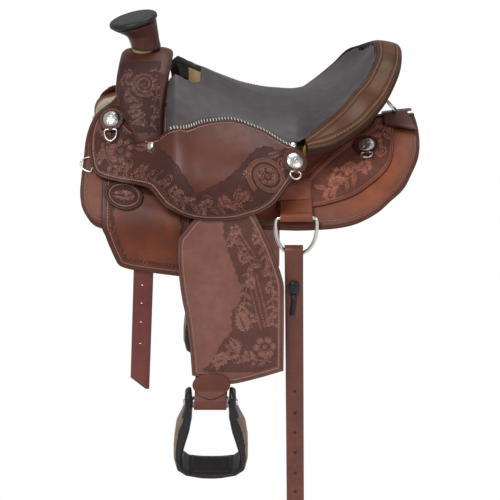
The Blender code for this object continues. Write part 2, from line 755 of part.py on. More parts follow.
cap_axis = Vector((-math.sin(HORN_TILT), 0, math.cos(HORN_TILT)))
cap_under = HORN_CAP_CENTRE - cap_axis * (HORN_CAP_THICKNESS / 2 + GAP)
half_cap = HORN_CAP_THICKNESS / 2
cap_profile = [(0.0, half_cap), (HORN_CAP_RADIUS * 0.80, half_cap)]
for k in range(7):
    angle = math.radians(75 - 25 * k)
    cap_profile.append((HORN_CAP_RADIUS - half_cap * (1 - math.cos(angle)),
                        half_cap * math.sin(angle)))
cap_profile += [(HORN_CAP_RADIUS * 0.80, -half_cap), (0.0, -half_cap)]
settled(turned("horn_cap", cap_profile, horn_frame(HORN_CAP_CENTRE), 24, None),
        look="black leather")
wrap = new_object("horn_wrap", loft_mesh("horn_wrap", [
    tilted_ring((-0.1965, FORK_TOP + 0.0024), 0.0287, 0.0),
    tilted_ring((-0.1995, FORK_TOP + 0.016), 0.0285, 0.03),
    tilted_ring((-0.2030, FORK_TOP + 0.029), 0.0305, 0.09),
    tilted_ring((-0.2105, FORK_TOP + 0.039), 0.0365, 0.17),
    tilted_ring((cap_under.x, cap_under.z), 0.0430, HORN_TILT),
]), "tooled leather")
cut(wrap, neck_hole)
core_top = HORN_FOOT + horn_run * ((cap_under - HORN_FOOT).length - 0.006)
new_object("horn_core", rod_mesh("horn_core", HORN_FOOT, core_top, HORN_CORE_RADIUS, 22), "rawhide")


# Seat: padded leather from the fork to the rim of the cantle

def seam_drop(x):
    return float(hermite(SEAM, x)[0])


SEAT_COLUMNS = 7
SEAT_X = [-0.156, -0.140, -0.119, -0.098, -0.077, -0.056, -0.035, -0.014, 0.007, 0.028, 0.049,
          0.070, 0.0865]


def padding(share):
    """Depth of the seat from the middle line (0) to its edge (1)."""
    return SEAT_EDGE + (SEAT_PADDING - SEAT_EDGE) * (1 - share**3)


def seat_row_front(x, depth_scale, extra, trim):
    row = []
    edge = seam_drop(x) - trim
    for k in range(SEAT_COLUMNS):
        share = k / (SEAT_COLUMNS - 1)
        depth = padding(share) * depth_scale + extra
        point = outside.place(x, edge * share, -depth)
        if k == 0:
            point.y = 0.0
            point.z = outside.place(x, 0.0, 0.0).z - depth
        row.append(point)
    return row


def seat_row_rear(index, depth_scale, extra, trim):
    """A row from the middle line of the seat to the rim of the cantle."""
    x, z = SEAT_RISE[index]
    rim = Vector(RIM[len(RIM) - 1 - index])
    if index == len(SEAT_RISE) - 1:
        rim = Vector(RIM[0]).lerp(Vector(RIM[1]), 0.6)
    start = Vector((x, 0.0, z))
    inward = Vector((start.x - rim.x, -rim.y, 0)).normalized()
    rim = rim + inward * trim
    share = index / (len(SEAT_RISE) - 1)
    rise = math.radians(-28 + 80 * min(1.0, share * 1.6) - 34 * max(0.0, share - 0.6))
    reach = (rim - start).length * 0.36
    b = start + Vector((0.15 * (rim.x - start.x), reach, 0))
    run = Vector((rim.x - start.x, rim.y, 0)).normalized()
    c = rim - reach * (run * math.cos(rise) + Vector((0, 0, math.sin(rise))))
    if index == len(SEAT_RISE) - 1:
        b = start.lerp(rim, 0.33)
        c = start.lerp(rim, 0.67)
    row = []
    for k in range(SEAT_COLUMNS):
        t = k / (SEAT_COLUMNS - 1)
        point = ((1 - t)**3 * start + 3 * (1 - t)**2 * t * b + 3 * (1 - t) * t * t * c
                 + t**3 * rim)
        point.z -= padding(t) * depth_scale + extra
        row.append(point)
    return row


def seat_sheet(depth_scale, extra=0.0, trim=0.0, front=0, rear=len(SEAT_RISE)):
    rows = [seat_row_front(x, depth_scale, extra, trim) for x in SEAT_X[front:]]
    rows += [seat_row_rear(i, depth_scale, extra, trim) for i in range(rear)]
    return rows


def sheet_solid(name, top, bottom):
    """Close two matching half sheets, mirrored over the middle plane, into one solid."""
    bm = bmesh.new()

    def skin(rows):
        made = []
        for row in rows:
            near = [bm.verts.new((p.x, -p.y, p.z)) for p in reversed(row[1:])]
            off = [bm.verts.new(p) for p in row]
            made.append(near + off)
        return made

    upper, lower = skin(top), skin(bottom)
    for sheet in (upper, lower):
        for a, b in zip(sheet, sheet[1:]):
            for j in range(len(a) - 1):
                bm.faces.new((a[j], a[j + 1], b[j + 1], b[j]))
    across = len(upper[0]) - 1
    for a, b in ((upper[0], lower[0]), (upper[-1], lower[-1])):
        for j in range(across):
            bm.faces.new((a[j], a[j + 1], b[j + 1], b[j]))
    for i in range(len(upper) - 1):
        for j in (0, across):
            bm.faces.new((upper[i][j], upper[i + 1][j], lower[i + 1][j], lower[i][j]))
    bm.normal_update()
    bmesh.ops.triangulate(bm, faces=bm.faces[:])
    return as_mesh(bm, name)


def hand_hole_loop():
    half, corner = HAND_HOLE_WIDTH / 2, 0.020
    loop = [(HAND_HOLE_FRONT, -half), (HAND_HOLE_FRONT, half)]
    for sign in (1, -1):
        for k in range(5):
            a = math.radians(90 - 22.5 * k) * sign if sign > 0 else math.radians(-22.5 * k)
            loop.append((HAND_HOLE_REAR - corner + corner * math.cos(a),
                         sign * (half - corner) + corner * math.sin(a)))
    return loop


hand_hole = cutter("hand hole", loft_mesh("hand hole", [
    [(x, y, z) for x, y in hand_hole_loop()] for z in (0.06, 0.22)]))
seat = new_object("seat", sheet_solid(
    "seat", seat_sheet(0.0, trim=SEAM_GAP / 2), seat_sheet(1.0, trim=SEAM_GAP / 2)), "seat leather")
cut(seat, fork_keepout, hand_hole)


# Ground seat: an arch under the seat that stands on the bars

GROUND_FIRST = 2
GROUND_COLUMNS = 5

def ground_seat_mesh():
    """The arch follows the seat's underside at the seat's own stations."""
    rings = []
    under = seat_sheet(1.0, extra=GAP, trim=SEAM_GAP / 2)[GROUND_FIRST:len(SEAT_X)]
    for row in under:
        top = row[:GROUND_COLUMNS]
        x = top[0].x
        feet = [back.place(x, drop, bar_lift(x, drop) - 0.006)
                for drop in (BAR_OUTER - 0.030, BAR_INNER + 0.022)]
        arch = Vector((x, 0.030, top[0].z - 0.026))
        crown = Vector((x, 0.0, top[0].z - 0.020))
        half = top + feet + [arch, crown]
        rings.append(half + [Vector((p.x, -p.y, p.z)) for p in reversed(half[1:-1])])
    return loft_mesh("ground_seat", rings)


def strap_lift(drop):
    """Height of the upper stirrup leather's inner face, over the bar and down its edge."""
    fade = min(max((drop - BAR_OUTER - 0.006) / 0.020, 0.0), 1.0)
    over_bar = bar_lift(HANG_X, min(drop, BAR_OUTER)) + GAP
    return over_bar + (RIG_LOW - over_bar) * (3 * fade**2 - 2 * fade**3)


strap_bottom = 0.2345


def strap_loop(grow=0.0):
    half, top = LEATHER_WIDTH / 2 + grow, BAR_INNER + 0.004 - grow
    return [(HANG_X - half, top), (HANG_X + half, top), (HANG_X + half, strap_bottom - 0.012),
            (HANG_X + half - 0.012, strap_bottom), (HANG_X - half + 0.012, strap_bottom),
            (HANG_X - half, strap_bottom - 0.012)]


seat_keepout = cutter("seat clearance", sheet_solid(
    "seat clearance", seat_sheet(0.0, extra=-0.012, trim=-0.001),
    seat_sheet(1.0, extra=GAP, trim=-0.001)))
strap_cutters = [cutter(tag + " strap clearance", bent_mesh(
    tag + " strap clearance", back, strap_loop(GAP), lambda x, drop: strap_lift(drop) - GAP,
    lambda x, drop: strap_lift(drop) + STRAP + GAP, side)) for side, tag in SIDES]
ground = new_object("ground_seat", ground_seat_mesh(), "rawhide")
cut(ground, hand_hole, *strap_cutters, *bar_cutters)


# Cantle: the roll, the leather back and the wooden cantle inside

def cantle_station(index):
    """Rim point, roll edge, outward direction and reach at a station from the middle out."""
    inner = Vector(RIM[index])
    outer = Vector(ROLL_EDGE[index])
    reach = Vector((outer.x - inner.x, outer.y - inner.y, 0))
    return inner, outer, reach.normalized(), reach.length


def mirrored_stations(rings):
    """Rings from the middle out, mirrored to run from the near corner to the off corner."""
    near = [[Vector((p.x, -p.y, p.z)) for p in ring] for ring in reversed(rings[1:])]
    return near + rings


ROLL_SECTION = [
    (0.0, 0.0, 0.0), (0.30, 0.30, 0.0030), (0.70, 0.70, 0.0030), (0.95, 1.0, 0.001),
    (1.0, 1.0, -0.0055), (0.94, 1.0, -0.0105), (0.60, 0.62, -0.0125), (0.25, 0.28, -0.0130),
    (0.0, 0.0, -0.0105),
]
roll_rings = []
for i in range(len(RIM)):
    inner, outer, out, reach = cantle_station(i)
    fall = outer.z - inner.z
    ring = [inner + out * (SEAM_GAP / 2 + share * (reach - SEAM_GAP / 2))
            + Vector((0, 0, drop * fall + rise)) for share, drop, rise in ROLL_SECTION]
    roll_rings.append(ring)
new_object("cantle_roll", loft_mesh("cantle_roll", mirrored_stations(roll_rings)), "roll leather")

back_rings = []
wood_rings = []
for i in range(len(RIM)):
    inner, outer, out, reach = cantle_station(i)
    fall = outer.z - inner.z
    foot_x, foot_drop = CANTLE_FOOT[i]
    foot = back.place(foot_x, foot_drop, RIG_LOW - 0.0025)
    if i == 0:
        foot.y = 0.0
    top = inner + out * 0.30 * reach + Vector((0, 0, 0.30 * fall - 0.0130 - 3 * GAP))
    middle = (top + foot) / 2 - out * 0.004
    leather_in = -out * COVER
    back_rings.append([top, middle, foot, foot + leather_in, middle + leather_in,
                       top + leather_in])
    wood_out = -out * (COVER + GAP)
    rim_low = inner - Vector((0, 0, SEAT_EDGE + 0.0085))
    thick = min(0.055, 0.024 + 0.16 * max(0.0, inner.z - 0.07))
    front_foot = foot - out * thick + Vector((0, 0, 0.012))
    wood_rings.append([foot + wood_out, middle + wood_out, top + wood_out, rim_low,
                       rim_low - out * 0.012 - Vector((0, 0, 0.012)), front_foot])
cantle_leather = new_object("cantle_back", loft_mesh("cantle_back", mirrored_stations(back_rings)),
                            "tooled leather")
wood = cutter("cantle wood", loft_mesh("cantle wood", mirrored_stations(wood_rings)))
skirt_top = [cutter(tag + " skirt clearance", bent_mesh(
    tag + " skirt clearance", back, [(0.06, 0.0), (0.30, 0.0), (0.30, 0.20), (0.06, 0.20)],
    -SKIRT, RIG_LOW + GAP, side)) for side, tag in SIDES]
cut(cantle_leather, *bar_cutters, *skirt_top)
cut(wood, seat_keepout, *skirt_top)
tree = new_object("tree", bar_mesh(-1), "rawhide")
fuse(tree, cutter("off bar wood", bar_mesh(1)), tree_fork, wood)


# Leathers of each side: fleece, skirt, rear jockey, rigging plate, keeper, seat jockey

skirt_loop = smooth_loop(SKIRT_BLANK)
rear_loop = smooth_loop(REAR_JOCKEY_BLANK)
rig_loop = smooth_loop(RIG_BLANK)
seam_points = [(x, seam_drop(x) + SEAM_GAP / 2) for x in reversed(SEAT_X)]


def open_smooth(points, step=0.020):
    """Curve through the points from the first to the last."""
    made = []
    data = [np.array(p[:2], float) for p in points]
    for i in range(len(data) - 1):
        p0, p1, p2, p3 = (data[max(i - 1, 0)], data[i], data[i + 1],
                          data[min(i + 2, len(data) - 1)])
        pieces = max(1, round(float(np.linalg.norm(p2 - p1)) / step))
        for k in range(pieces):
            t = k / pieces
            made.append(tuple((2 * t**3 - 3 * t**2 + 1) * p1
                              + (t**3 - 2 * t**2 + t) * (p2 - p0) / 2
                              + (3 * t**2 - 2 * t**3) * p2 + (t**3 - t**2) * (p3 - p1) / 2))
    made.append(tuple(data[-1]))
    return made


jockey_loop = (open_smooth(JOCKEY_FRONT) + seam_points + open_smooth(JOCKEY_UNDER_FORK))
KEEPER_LOOP = oval_loop(*KEEPER_OVAL)

for side, tag in SIDES:
    leather(tag + "_fleece_lining", back, inset_loop(skirt_loop, 0.003), 0.0, FLEECE, "fleece", side)
    leather(tag + "_skirt", back, skirt_loop, SKIRT_LOW, SKIRT_HIGH, "skirting", side)
    leather(tag + "_rear_jockey", back, rear_loop, RIG_LOW, HOUSING_HIGH, "tooled leather", side)
    leather(tag + "_rigging_plate", back, rig_loop, RIG_LOW, RIG_HIGH, "skirting", side)
    jockey = leather(tag + "_seat_jockey", outside, jockey_loop, -JOCKEY, 0.0, "tooled leather", side)
    cut(jockey, fork_keepout)
    leather(tag + "_latigo_keeper", back, KEEPER_LOOP, KEEPER_LOW, KEEPER_HIGH, "tooled leather", side)


# Hanging plane of the fender and its stirrup leather

def hang(x, along, out, side):
    """A point in the leaning plane: x, distance down from the swing axis, distance outwards."""
    y = LEATHER_IN + along * math.sin(LEAN) + out * math.cos(LEAN)
    z = HANG_Z - along * math.cos(LEAN) + out * math.sin(LEAN)
    return Vector((x, side * y, z))


def pivot(side):
    return hang(HANG_X, 0.0, FENDER_IN / 2, side)


FENDER_BLANK = [
    (-0.1225, 0.0235), (-0.1030, -0.001), (-0.083, -0.018), (-0.055, -0.030), (-0.018, -0.029),
    (0.003, -0.019), (0.0128, -0.005), (0.0331, 0.038), (0.0509, 0.085), (0.0623, 0.125),
    (0.0635, 0.157), (0.0638, 0.240), (0.0638, 0.3035, 1), (0.015, 0.319), (-0.0343, 0.331),
    (-0.060, 0.325), (-0.0818, 0.3175), (-0.098, 0.3165), (-0.1102, 0.313, 1), (-0.1138, 0.253),
    (-0.120, 0.195), (-0.127, 0.155), (-0.1318, 0.111), (-0.1336, 0.071), (-0.1318, 0.037),
]


def profile_mesh(name, profile, half_width, centre, to_world):
    """Extrude a side profile across x, with a half width and a centre for each point."""
    bm = bmesh.new()
    left, right = [], []
    for u, v in profile:
        left.append(bm.verts.new(to_world(centre(u) - half_width(u), u, v)))
        right.append(bm.verts.new(to_world(centre(u) + half_width(u), u, v)))
    count = len(profile)
    for i in range(count):
        k = (i + 1) % count
        bm.faces.new((left[i], left[k], right[k], right[i]))
    bm.faces.new(left)
    bm.faces.new(right)
    bm.normal_update()
    bmesh.ops.triangulate(bm, faces=bm.faces[:])
    return as_mesh(bm, name)


half_leather = LEATHER_WIDTH / 2
roller_out = STRAP + GAP + ROLLER_RADIUS
loop_radius = ROLLER_RADIUS + GAP + STRAP
split = ROLLER_DROP - 0.033


HOBBLE_MIDDLE = ROLLER_DROP - 0.036
HOBBLE_HALF_HEIGHT = 0.024
HOBBLE_HALF_WIDTH = 0.0365
HOBBLE_LOOP = (HOBBLE_MIDDLE + 0.0018, HOBBLE_MIDDLE + 0.0082)


def lens(along):
    reach = (along - HOBBLE_MIDDLE) / HOBBLE_HALF_HEIGHT
    return HOBBLE_HALF_WIDTH * math.sqrt(max(0.03, 1 - reach**2))


def leather_front(along):
    """Outward face of the doubled leather: flat, then spreading to the loop."""
    t = min(max((along - split) / (ROLLER_DROP - split), 0.0), 1.0)
    return 2 * STRAP + (2 * loop_radius - 2 * STRAP) * (3 * t**2 - 2 * t**3)


def arc(centre_along, centre_out, radius, first, last, count):
    made = []
    for k in range(count + 1):
        a = math.radians(first + (last - first) * k / count)
        made.append((centre_along + radius * math.sin(a), centre_out + radius * math.cos(a)))
    return made


def leather_profile():
    top = (-0.0305, -0.024, -0.013, 0.0)
    spread = [split + (ROLLER_DROP - split) * k / 4 for k in range(4)]
    front = [(along, leather_front(along)) for along in spread]
    around = arc(ROLLER_DROP, roller_out, loop_radius, 0, 180, 10)
    return [(along, 2 * STRAP) for along in top] + front + around + [(a, 0.0) for a in reversed(top)]


def leather_half_width(along):
    return half_leather if along >= 0 else math.sqrt(max(half_leather**2 - along**2, 0.006**2))


def slot_profile():
    """Space between the two layers, round the roller."""
    room = ROLLER_RADIUS + GAP
    spread = []
    for k in range(1, 6):
        along = split + 0.008 + (ROLLER_DROP - split - 0.008) * k / 6
        round_roller = roller_out + math.sqrt(max(0.0, room**2 - (along - ROLLER_DROP)**2))
        spread.append((along, max(leather_front(along) - STRAP, STRAP + 0.0006, round_roller)))
    return ([(split + 0.008, STRAP + 0.0006)] + spread
            + arc(ROLLER_DROP, roller_out, room, 0, 180, 10) + [(split + 0.008, STRAP)])


STIRRUP_SECTIONS = [
    ((0.0365, 0.027), (0.0430, 0.027), 0.012), ((0.0356, 0.018), (0.0485, 0.020), 0.021),
    ((0.0348, 0.0), (0.0490, 0.0), 0.025), ((0.0352, -0.025), (0.0540, -0.020), 0.026),
    ((0.0410, -0.055), (0.0665, -0.048), 0.029), ((0.0500, -0.085), (0.0712, -0.080), 0.033),
    ((0.0565, -0.108), (0.0715, -0.108), 0.036), ((0.0550, -0.125), (0.0660, -0.132), 0.037),
    ((0.0430, -0.136), (0.0490, -0.144), 0.037), ((0.0200, -0.138), (0.0200, -0.1505), 0.037),
    ((0.0, -0.138), (0.0, -0.152), 0.037),
]


def band_ring(centre, inner, outer, half_depth, sign):
    """A section of the stirrup's band with its long edges rounded."""
    a, b = Vector(inner), Vector(outer)
    ring = []
    for t, depth in ((0.0, 0.72), (0.0, -0.72), (0.22, -1.0), (0.78, -1.0), (1.0, -0.72),
                     (1.0, 0.72), (0.78, 1.0), (0.22, 1.0)):
        p = a.lerp(b, t)
        ring.append(centre + Vector((sign * p.x, depth * half_depth, p.y)))
    return ring


for side, tag in SIDES:
    axis = pivot(side)
    across = lambda x, u, v, s=side: hang(x, u, v, s)
    flat_fender = flat_mesh(tag + "_fender", smooth_loop(FENDER_BLANK, 0.03), across,
                            FENDER_IN, FENDER_IN + FENDER)
    new_object(tag + "_fender", flat_fender, "tooled leather", origin=axis)

    strap = new_object(tag + "_stirrup_leather", profile_mesh(
        tag + "_stirrup_leather", leather_profile(), leather_half_width,
        lambda along: HANG_X + (STIRRUP_X - HANG_X) * max(0.0, along) / ROLLER_DROP, across),
        "skirting", origin=axis)
    slot = cutter(tag + " leather slot", profile_mesh(
        tag + " leather slot", slot_profile(), lambda along: LEATHER_WIDTH, lambda along: STIRRUP_X,
        across))
    cut(strap, slot)

    # Hobble strap: a lens over the tip of the fender, with a narrow loop round the leather
    over_fender = FENDER_IN + FENDER + GAP
    steps = [HOBBLE_MIDDLE + HOBBLE_HALF_HEIGHT * (k / 5 - 1) for k in range(11)]
    face = [(along, max(over_fender, leather_front(along) + 3 * GAP)) for along in steps]
    loop_top, loop_bottom = HOBBLE_LOOP
    outer = ([(along, out + KEEPER) for along, out in face]
             + [(along, out) for along, out in reversed(face) if along > loop_bottom + 0.001]
             + [(loop_bottom, over_fender), (loop_bottom, -GAP - KEEPER), (loop_top, -GAP - KEEPER),
                (loop_top, over_fender)]
             + [(along, out) for along, out in reversed(face) if along < loop_top - 0.001])
    centre_x = lambda along: HANG_X + (STIRRUP_X - HANG_X) * along / ROLLER_DROP
    hobble = new_object(tag + "_hobble_strap", profile_mesh(
        tag + "_hobble_strap", outer, lens, centre_x, across), "skirting", origin=axis)
    room = [(loop_top - 0.01, -GAP), (loop_bottom + 0.004, -GAP),
            (loop_bottom + 0.004, over_fender - 0.0005),
            (loop_top - 0.01, over_fender - 0.0005)]
    cut(hobble, cutter(tag + " hobble slot", profile_mesh(
        tag + " hobble slot", room, lambda along: half_leather + GAP, centre_x, across)))

    # Stirrup, its bolt with a roller, and the tread pad
    middle = hang(STIRRUP_X, ROLLER_DROP, roller_out, side)
    rings = [band_ring(middle, *section, 1) for section in STIRRUP_SECTIONS]
    rings += [band_ring(middle, *section, -1) for section in reversed(STIRRUP_SECTIONS[:-1])]
    stirrup = new_object(tag + "_stirrup", loft_mesh(tag + "_stirrup", rings), "black leather",
                         origin=middle)
    bolt_hole = cutter(tag + " bolt clearance", rod_mesh(
        tag + " bolt clearance", middle - Vector((0.08, 0, 0)), middle + Vector((0.08, 0, 0)),
        BOLT_RADIUS + GAP))
    ear_in = STIRRUP_SECTIONS[2][0][0]
    ear_out = STIRRUP_SECTIONS[2][1][0] - 0.0012
    recesses = [cutter(tag + " bolt recess", rod_mesh(
        tag + " bolt recess", middle + Vector((sign * ear_out, 0, 0)),
        middle + Vector((sign * 0.08, 0, 0)), 0.0078)) for sign in (1, -1)]
    cut(stirrup, bolt_hole, *recesses)
    head = 0.004
    bolt_profile = [
        (0.0, ear_out + GAP + head), (0.0055, ear_out + GAP + head), (0.007, ear_out + GAP + 0.001),
        (0.007, ear_out + GAP), (BOLT_RADIUS, ear_out + GAP), (BOLT_RADIUS, ear_in - GAP),
        (ROLLER_RADIUS, ear_in - GAP), (ROLLER_RADIUS, -ear_in + GAP),
        (BOLT_RADIUS, -ear_in + GAP), (BOLT_RADIUS, -ear_out - GAP), (0.007, -ear_out - GAP),
        (0.007, -ear_out - GAP - 0.001), (0.0055, -ear_out - GAP - head),
        (0.0, -ear_out - GAP - head),
    ]
    lying = Matrix.Translation(middle) @ Matrix.Rotation(math.pi / 2, 4, "Y")
    settled(turned(tag + "_stirrup_bolt", bolt_profile, lying, 16, None), look="silver",
            origin=middle)
    pad = []
    for x, rise in ((-0.036, 0.0017), (-0.020, 0.0003), (0.020, 0.0003), (0.036, 0.0017)):
        low = STIRRUP_SECTIONS[-1][0][1] + rise - GAP
        pad.append([middle + Vector((x, y, low + h)) for y, h in (
            (-0.026, 0), (0.026, 0), (0.026, TREAD_PAD * 0.6), (0.022, TREAD_PAD),
            (-0.022, TREAD_PAD), (-0.026, TREAD_PAD * 0.6))])
    fuse(stirrup, cutter(tag + " tread pad", loft_mesh(tag + " tread pad", pad)))


# Upper stirrup leather: over the bar and down to the swing axis

for side, tag in SIDES:
    leather(tag + "_upper_leather", back, strap_loop(), lambda x, drop: strap_lift(drop),
            lambda x, drop: strap_lift(drop) + STRAP, "skirting", side)


# Rear rigging: dee, tab and billet with its lace

billet_pivot_z = RING_Z - RING_HEIGHT + RING_WIRE
billet_room = RING_WIRE + BILLET_SLACK
BILLET_FOLD = RING_Z - 0.0565
BILLET_BACK_END = -0.252
BILLET_HOLES = [-0.4515, -0.5003, -0.5440, -0.5893, -0.6364, -0.6793]


def billet_centre(z):
    return 0.0813 + 0.0165 * (z - BILLET_FOLD) / -1.0


def billet_half(z, end):
    return BILLET_WIDTH / 2 * min(1.0, max(0.25, (z - end) / 0.022))


def billet_profile(end):
    """Side profile of the folded billet, as height and distance out from the ring's plane."""
    meet = BILLET_FOLD - 0.055
    crown = BILLET_FOLD - billet_room - BILLET
    arch_out = [(crown + (billet_room + BILLET) * math.sin(a), (billet_room + BILLET) * math.cos(a))
                for a in (math.radians(x) for x in (0, 30, 60, 90, 120, 150, 180))]
    arch_in = [(crown + billet_room * math.sin(a), billet_room * math.cos(a))
               for a in (math.radians(x) for x in (180, 150, 120, 90, 60, 30, 0))]
    outward = [(end, BILLET), (end + 0.022, BILLET), (meet, BILLET)]
    inward = [(meet, -BILLET - 0.0003), (BILLET_BACK_END, -BILLET - 0.0003),
              (BILLET_BACK_END, -0.0003), (meet, -0.0003)]
    tip = [(meet, 0.0), (end + 0.022, 0.0), (end, 0.0)]
    return outward + arch_out + inward + arch_in + tip


for side, tag in SIDES:
    end = BILLET_TIP[side]
    place = Vector((RING_X, side * RING_Y, RING_Z))
    loop = [place + Vector((u, 0, v)) for u, v in d_loop(RING_WIDTH, RING_HEIGHT, 0.008, 14, 2.4)]
    wire(tag + "_rear_rig_dee", loop, RING_WIRE, "silver", place)
    at = Vector((0, side * RING_Y, 0))
    hinge = Vector((billet_centre(billet_pivot_z), side * RING_Y, billet_pivot_z))
    billet = new_object(tag + "_back_billet", profile_mesh(
        tag + "_back_billet", billet_profile(end), lambda z: billet_half(z, end), billet_centre,
        lambda x, z, out, s=side: Vector((x, s * (RING_Y + out), z))), "skirting", origin=hinge)
    holes = [rod_mesh("hole", (billet_centre(z), side * (RING_Y - 0.01), z),
                      (billet_centre(z), side * (RING_Y + 0.01), z), 0.0022, 8)
             for z in BILLET_HOLES if z > end]
    if holes:
        cut(billet, cutter(tag + " billet holes", join_meshes(tag + " billet holes", holes)))


def tab_mesh(side):
    """Leather rolled round the dee's bar, with a tail up the rear jockey to its slots."""
    radius = RING_WIRE + GAP + TAB_LEATHER
    rings = []
    for k in range(4):
        x = RING_X + TAB_WIDTH * (k / 3 - 0.5)
        tail = back.place(x, 0.176, HOUSING_HIGH + 2 * GAP)
        under = back.place(x, 0.193, HOUSING_HIGH + 2 * GAP)
        slope = (under - tail).normalized()
        normal = Vector((0, -slope.z, slope.y))
        start = math.atan2(-normal.z, -normal.y)
        ring = [tail, under + slope * 0.004]
        for j in range(11):
            a = start + math.radians(12 + 26 * j)
            ring.append(Vector((x, RING_Y + radius * math.cos(a), RING_Z + radius * math.sin(a))))
        ring.append(tail + normal * TAB_LEATHER + slope * 0.003)
        rings.append([(p.x, side * p.y, p.z) for p in ring])
    return loft_mesh("tab", rings)


for side, tag in SIDES:
    tab = new_object(tag + "_rear_rig_tab", tab_mesh(side), "skirting")
    cut(tab, cutter(tag + " dee clearance", rod_mesh(
        tag + " dee clearance", (RING_X - 0.05, side * RING_Y, RING_Z),
        (RING_X + 0.05, side * RING_Y, RING_Z), RING_WIRE + GAP, 16)))


# Front rigging: dees behind the plates, with the latigo and the off billet

rig_plate_in = HANG_BASE + RIG_LOW
rig_bar_y = rig_plate_in - SWING_GAP - LATIGO - GAP - RIG_RING_WIRE
rig_top_y = rig_plate_in - 0.0036 - RIG_RING_WIRE
RIG_RING_HEIGHT = 0.040
RIG_RING_WIDTH = 0.060
LATIGO_END = {-1: -0.452, 1: -0.372}
LATIGO_HOLES = [-0.2309, -0.2685, -0.3087, -0.3546]


def latigo_centre(z):
    return RIG_RING_X - 0.014 * (RIG_RING_BAR_Z - z) / 0.25


def latigo_half(z):
    return LATIGO_WIDTH / 2


def latigo_profile(end):
    """Folded latigo over the ring's lower bar, as height and distance out from the bar."""
    room = RIG_RING_WIRE + GAP
    top = RIG_RING_BAR_Z
    arch_out = [(top + (room + LATIGO) * math.sin(a), (room + LATIGO) * math.cos(a))
                for a in (math.radians(x) for x in (0, 30, 60, 90, 120, 150, 180))]
    arch_in = [(top + room * math.sin(a), room * math.cos(a))
               for a in (math.radians(x) for x in (180, 150, 120, 90, 60, 30, 0))]
    meet = top - 0.04
    fold = end + 0.057
    outward = [(end, LATIGO), (meet, LATIGO)]
    inward = [(meet, -LATIGO - 0.0003), (fold, -LATIGO - 0.0003), (fold, -0.0003),
              (meet, -0.0003)]
    return outward + arch_out + inward + arch_in + [(meet, 0.0), (end, 0.0)]


for side, tag in SIDES:
    loop = []
    for u, v in d_loop(RIG_RING_WIDTH, RIG_RING_HEIGHT, 0.008, 10):
        share = 1 + v / RIG_RING_HEIGHT
        y = rig_top_y + (rig_bar_y - rig_top_y) * share
        loop.append(Vector((RIG_RING_X + u, side * y, RIG_RING_BAR_Z - v)))
    wire(tag + "_front_rig_dee", loop, RIG_RING_WIRE, "silver",
         (RIG_RING_X, side * rig_bar_y, RIG_RING_BAR_Z))
    hinge = Vector((latigo_centre(RIG_RING_BAR_Z), side * rig_bar_y, RIG_RING_BAR_Z))
    name = "latigo" if side < 0 else "off_billet"
    strap = new_object(name, profile_mesh(
        name, latigo_profile(LATIGO_END[side]), latigo_half, latigo_centre,
        lambda x, z, out, s=side: Vector((x, s * (rig_bar_y + out), z))), "latigo leather",
        origin=hinge)
    trim = box_mesh(name + " trim", (-0.04, -0.02, -0.03), (0.04, 0.02, 0.03))
    trim.transform(Matrix.Translation((latigo_centre(LATIGO_END[side]) - 0.018, side * rig_bar_y,
                                       LATIGO_END[side] - 0.014))
                   @ Matrix.Rotation(math.radians(42), 4, "Y"))
    cut(strap, cutter(name + " trim", trim), cutter(name + " holes", join_meshes(name + " holes", [
        rod_mesh("hole", (latigo_centre(z) - 0.002, side * (rig_bar_y - 0.01), z),
                 (latigo_centre(z) - 0.002, side * (rig_bar_y + 0.01), z), 0.0025, 8)
        for z in LATIGO_HOLES if z > LATIGO_END[side] + 0.02])))


# Conchos on leather rosettes, with string dees

CONCHOS = {
    "front": (outside, -0.2595, 0.1132, 0.0),
    "mid": (outside, 0.0814, 0.1959, 0.0),
    "rear": (back, 0.2195, 0.0745, HOUSING_HIGH),
}
STRING_DEES = {
    "front": (0.0230, 0.024, 0.024),
    "mid": (0.0222, 0.021, 0.015),
    "rear": (0.0222, 0.021, 0.013),
}


def disc_mesh(profile, steps):
    made = settled(turned("disc", profile, Matrix.Identity(4), steps, None))
    mesh = made.data
    bpy.data.objects.remove(made, do_unlink=True)
    return mesh


def dome_mesh(radius, rise, steps=14):
    return disc_mesh([(0.0, rise), (radius * 0.45, rise * 0.88), (radius * 0.80, rise * 0.55),
                      (radius, rise * 0.15), (radius, 0.0), (0.0, 0.0)], steps)


def frame_matrix(frame):
    here, ahead, down, out = frame
    left = out.cross(ahead)
    return Matrix.Translation(here) @ Matrix((ahead, left, out)).transposed().to_4x4()


def placed(mesh, matrix):
    copy = mesh.copy()
    copy.transform(matrix)
    if matrix.determinant() < 0:
        copy.flip_normals()
    return copy


concho_mesh = dome_mesh(CONCHO_RADIUS, 0.0055)
rosette_mesh = disc_mesh([(0.0, ROSETTE), (ROSETTE_RADIUS * 0.93, ROSETTE),
                          (ROSETTE_RADIUS, ROSETTE * 0.5), (ROSETTE_RADIUS, 0.0), (0.0, 0.0)], 14)


def keeper_mesh(width):
    """A leather keeper with a bore for a dee's bar, lying along x with its foot at z = 0."""
    half = DEE_KEEPER / 2
    profile = [(-half - 0.002, 0.0), (half + 0.002, 0.0), (half, half), (half * 0.6, 2.1 * half),
               (-half * 0.6, 2.1 * half), (-half, half)]
    return loft_mesh("keeper", [[(x, y, z) for y, z in profile] for x in (-width / 2, width / 2)])


bore = DEE_WIRE + 0.0003


def keep_dee(holder, tag, matrix, axis, ahead, width):
    """Join a keeper to its holder and bore them for the dee's bar."""
    fuse(holder, cutter(tag + " keeper", placed(keeper_mesh(width), matrix)), solver="MANIFOLD")
    cut(holder, cutter(tag + " bore", rod_mesh(
        tag + " bore", axis - ahead * width, axis + ahead * width, bore, 10)), solver="MANIFOLD")


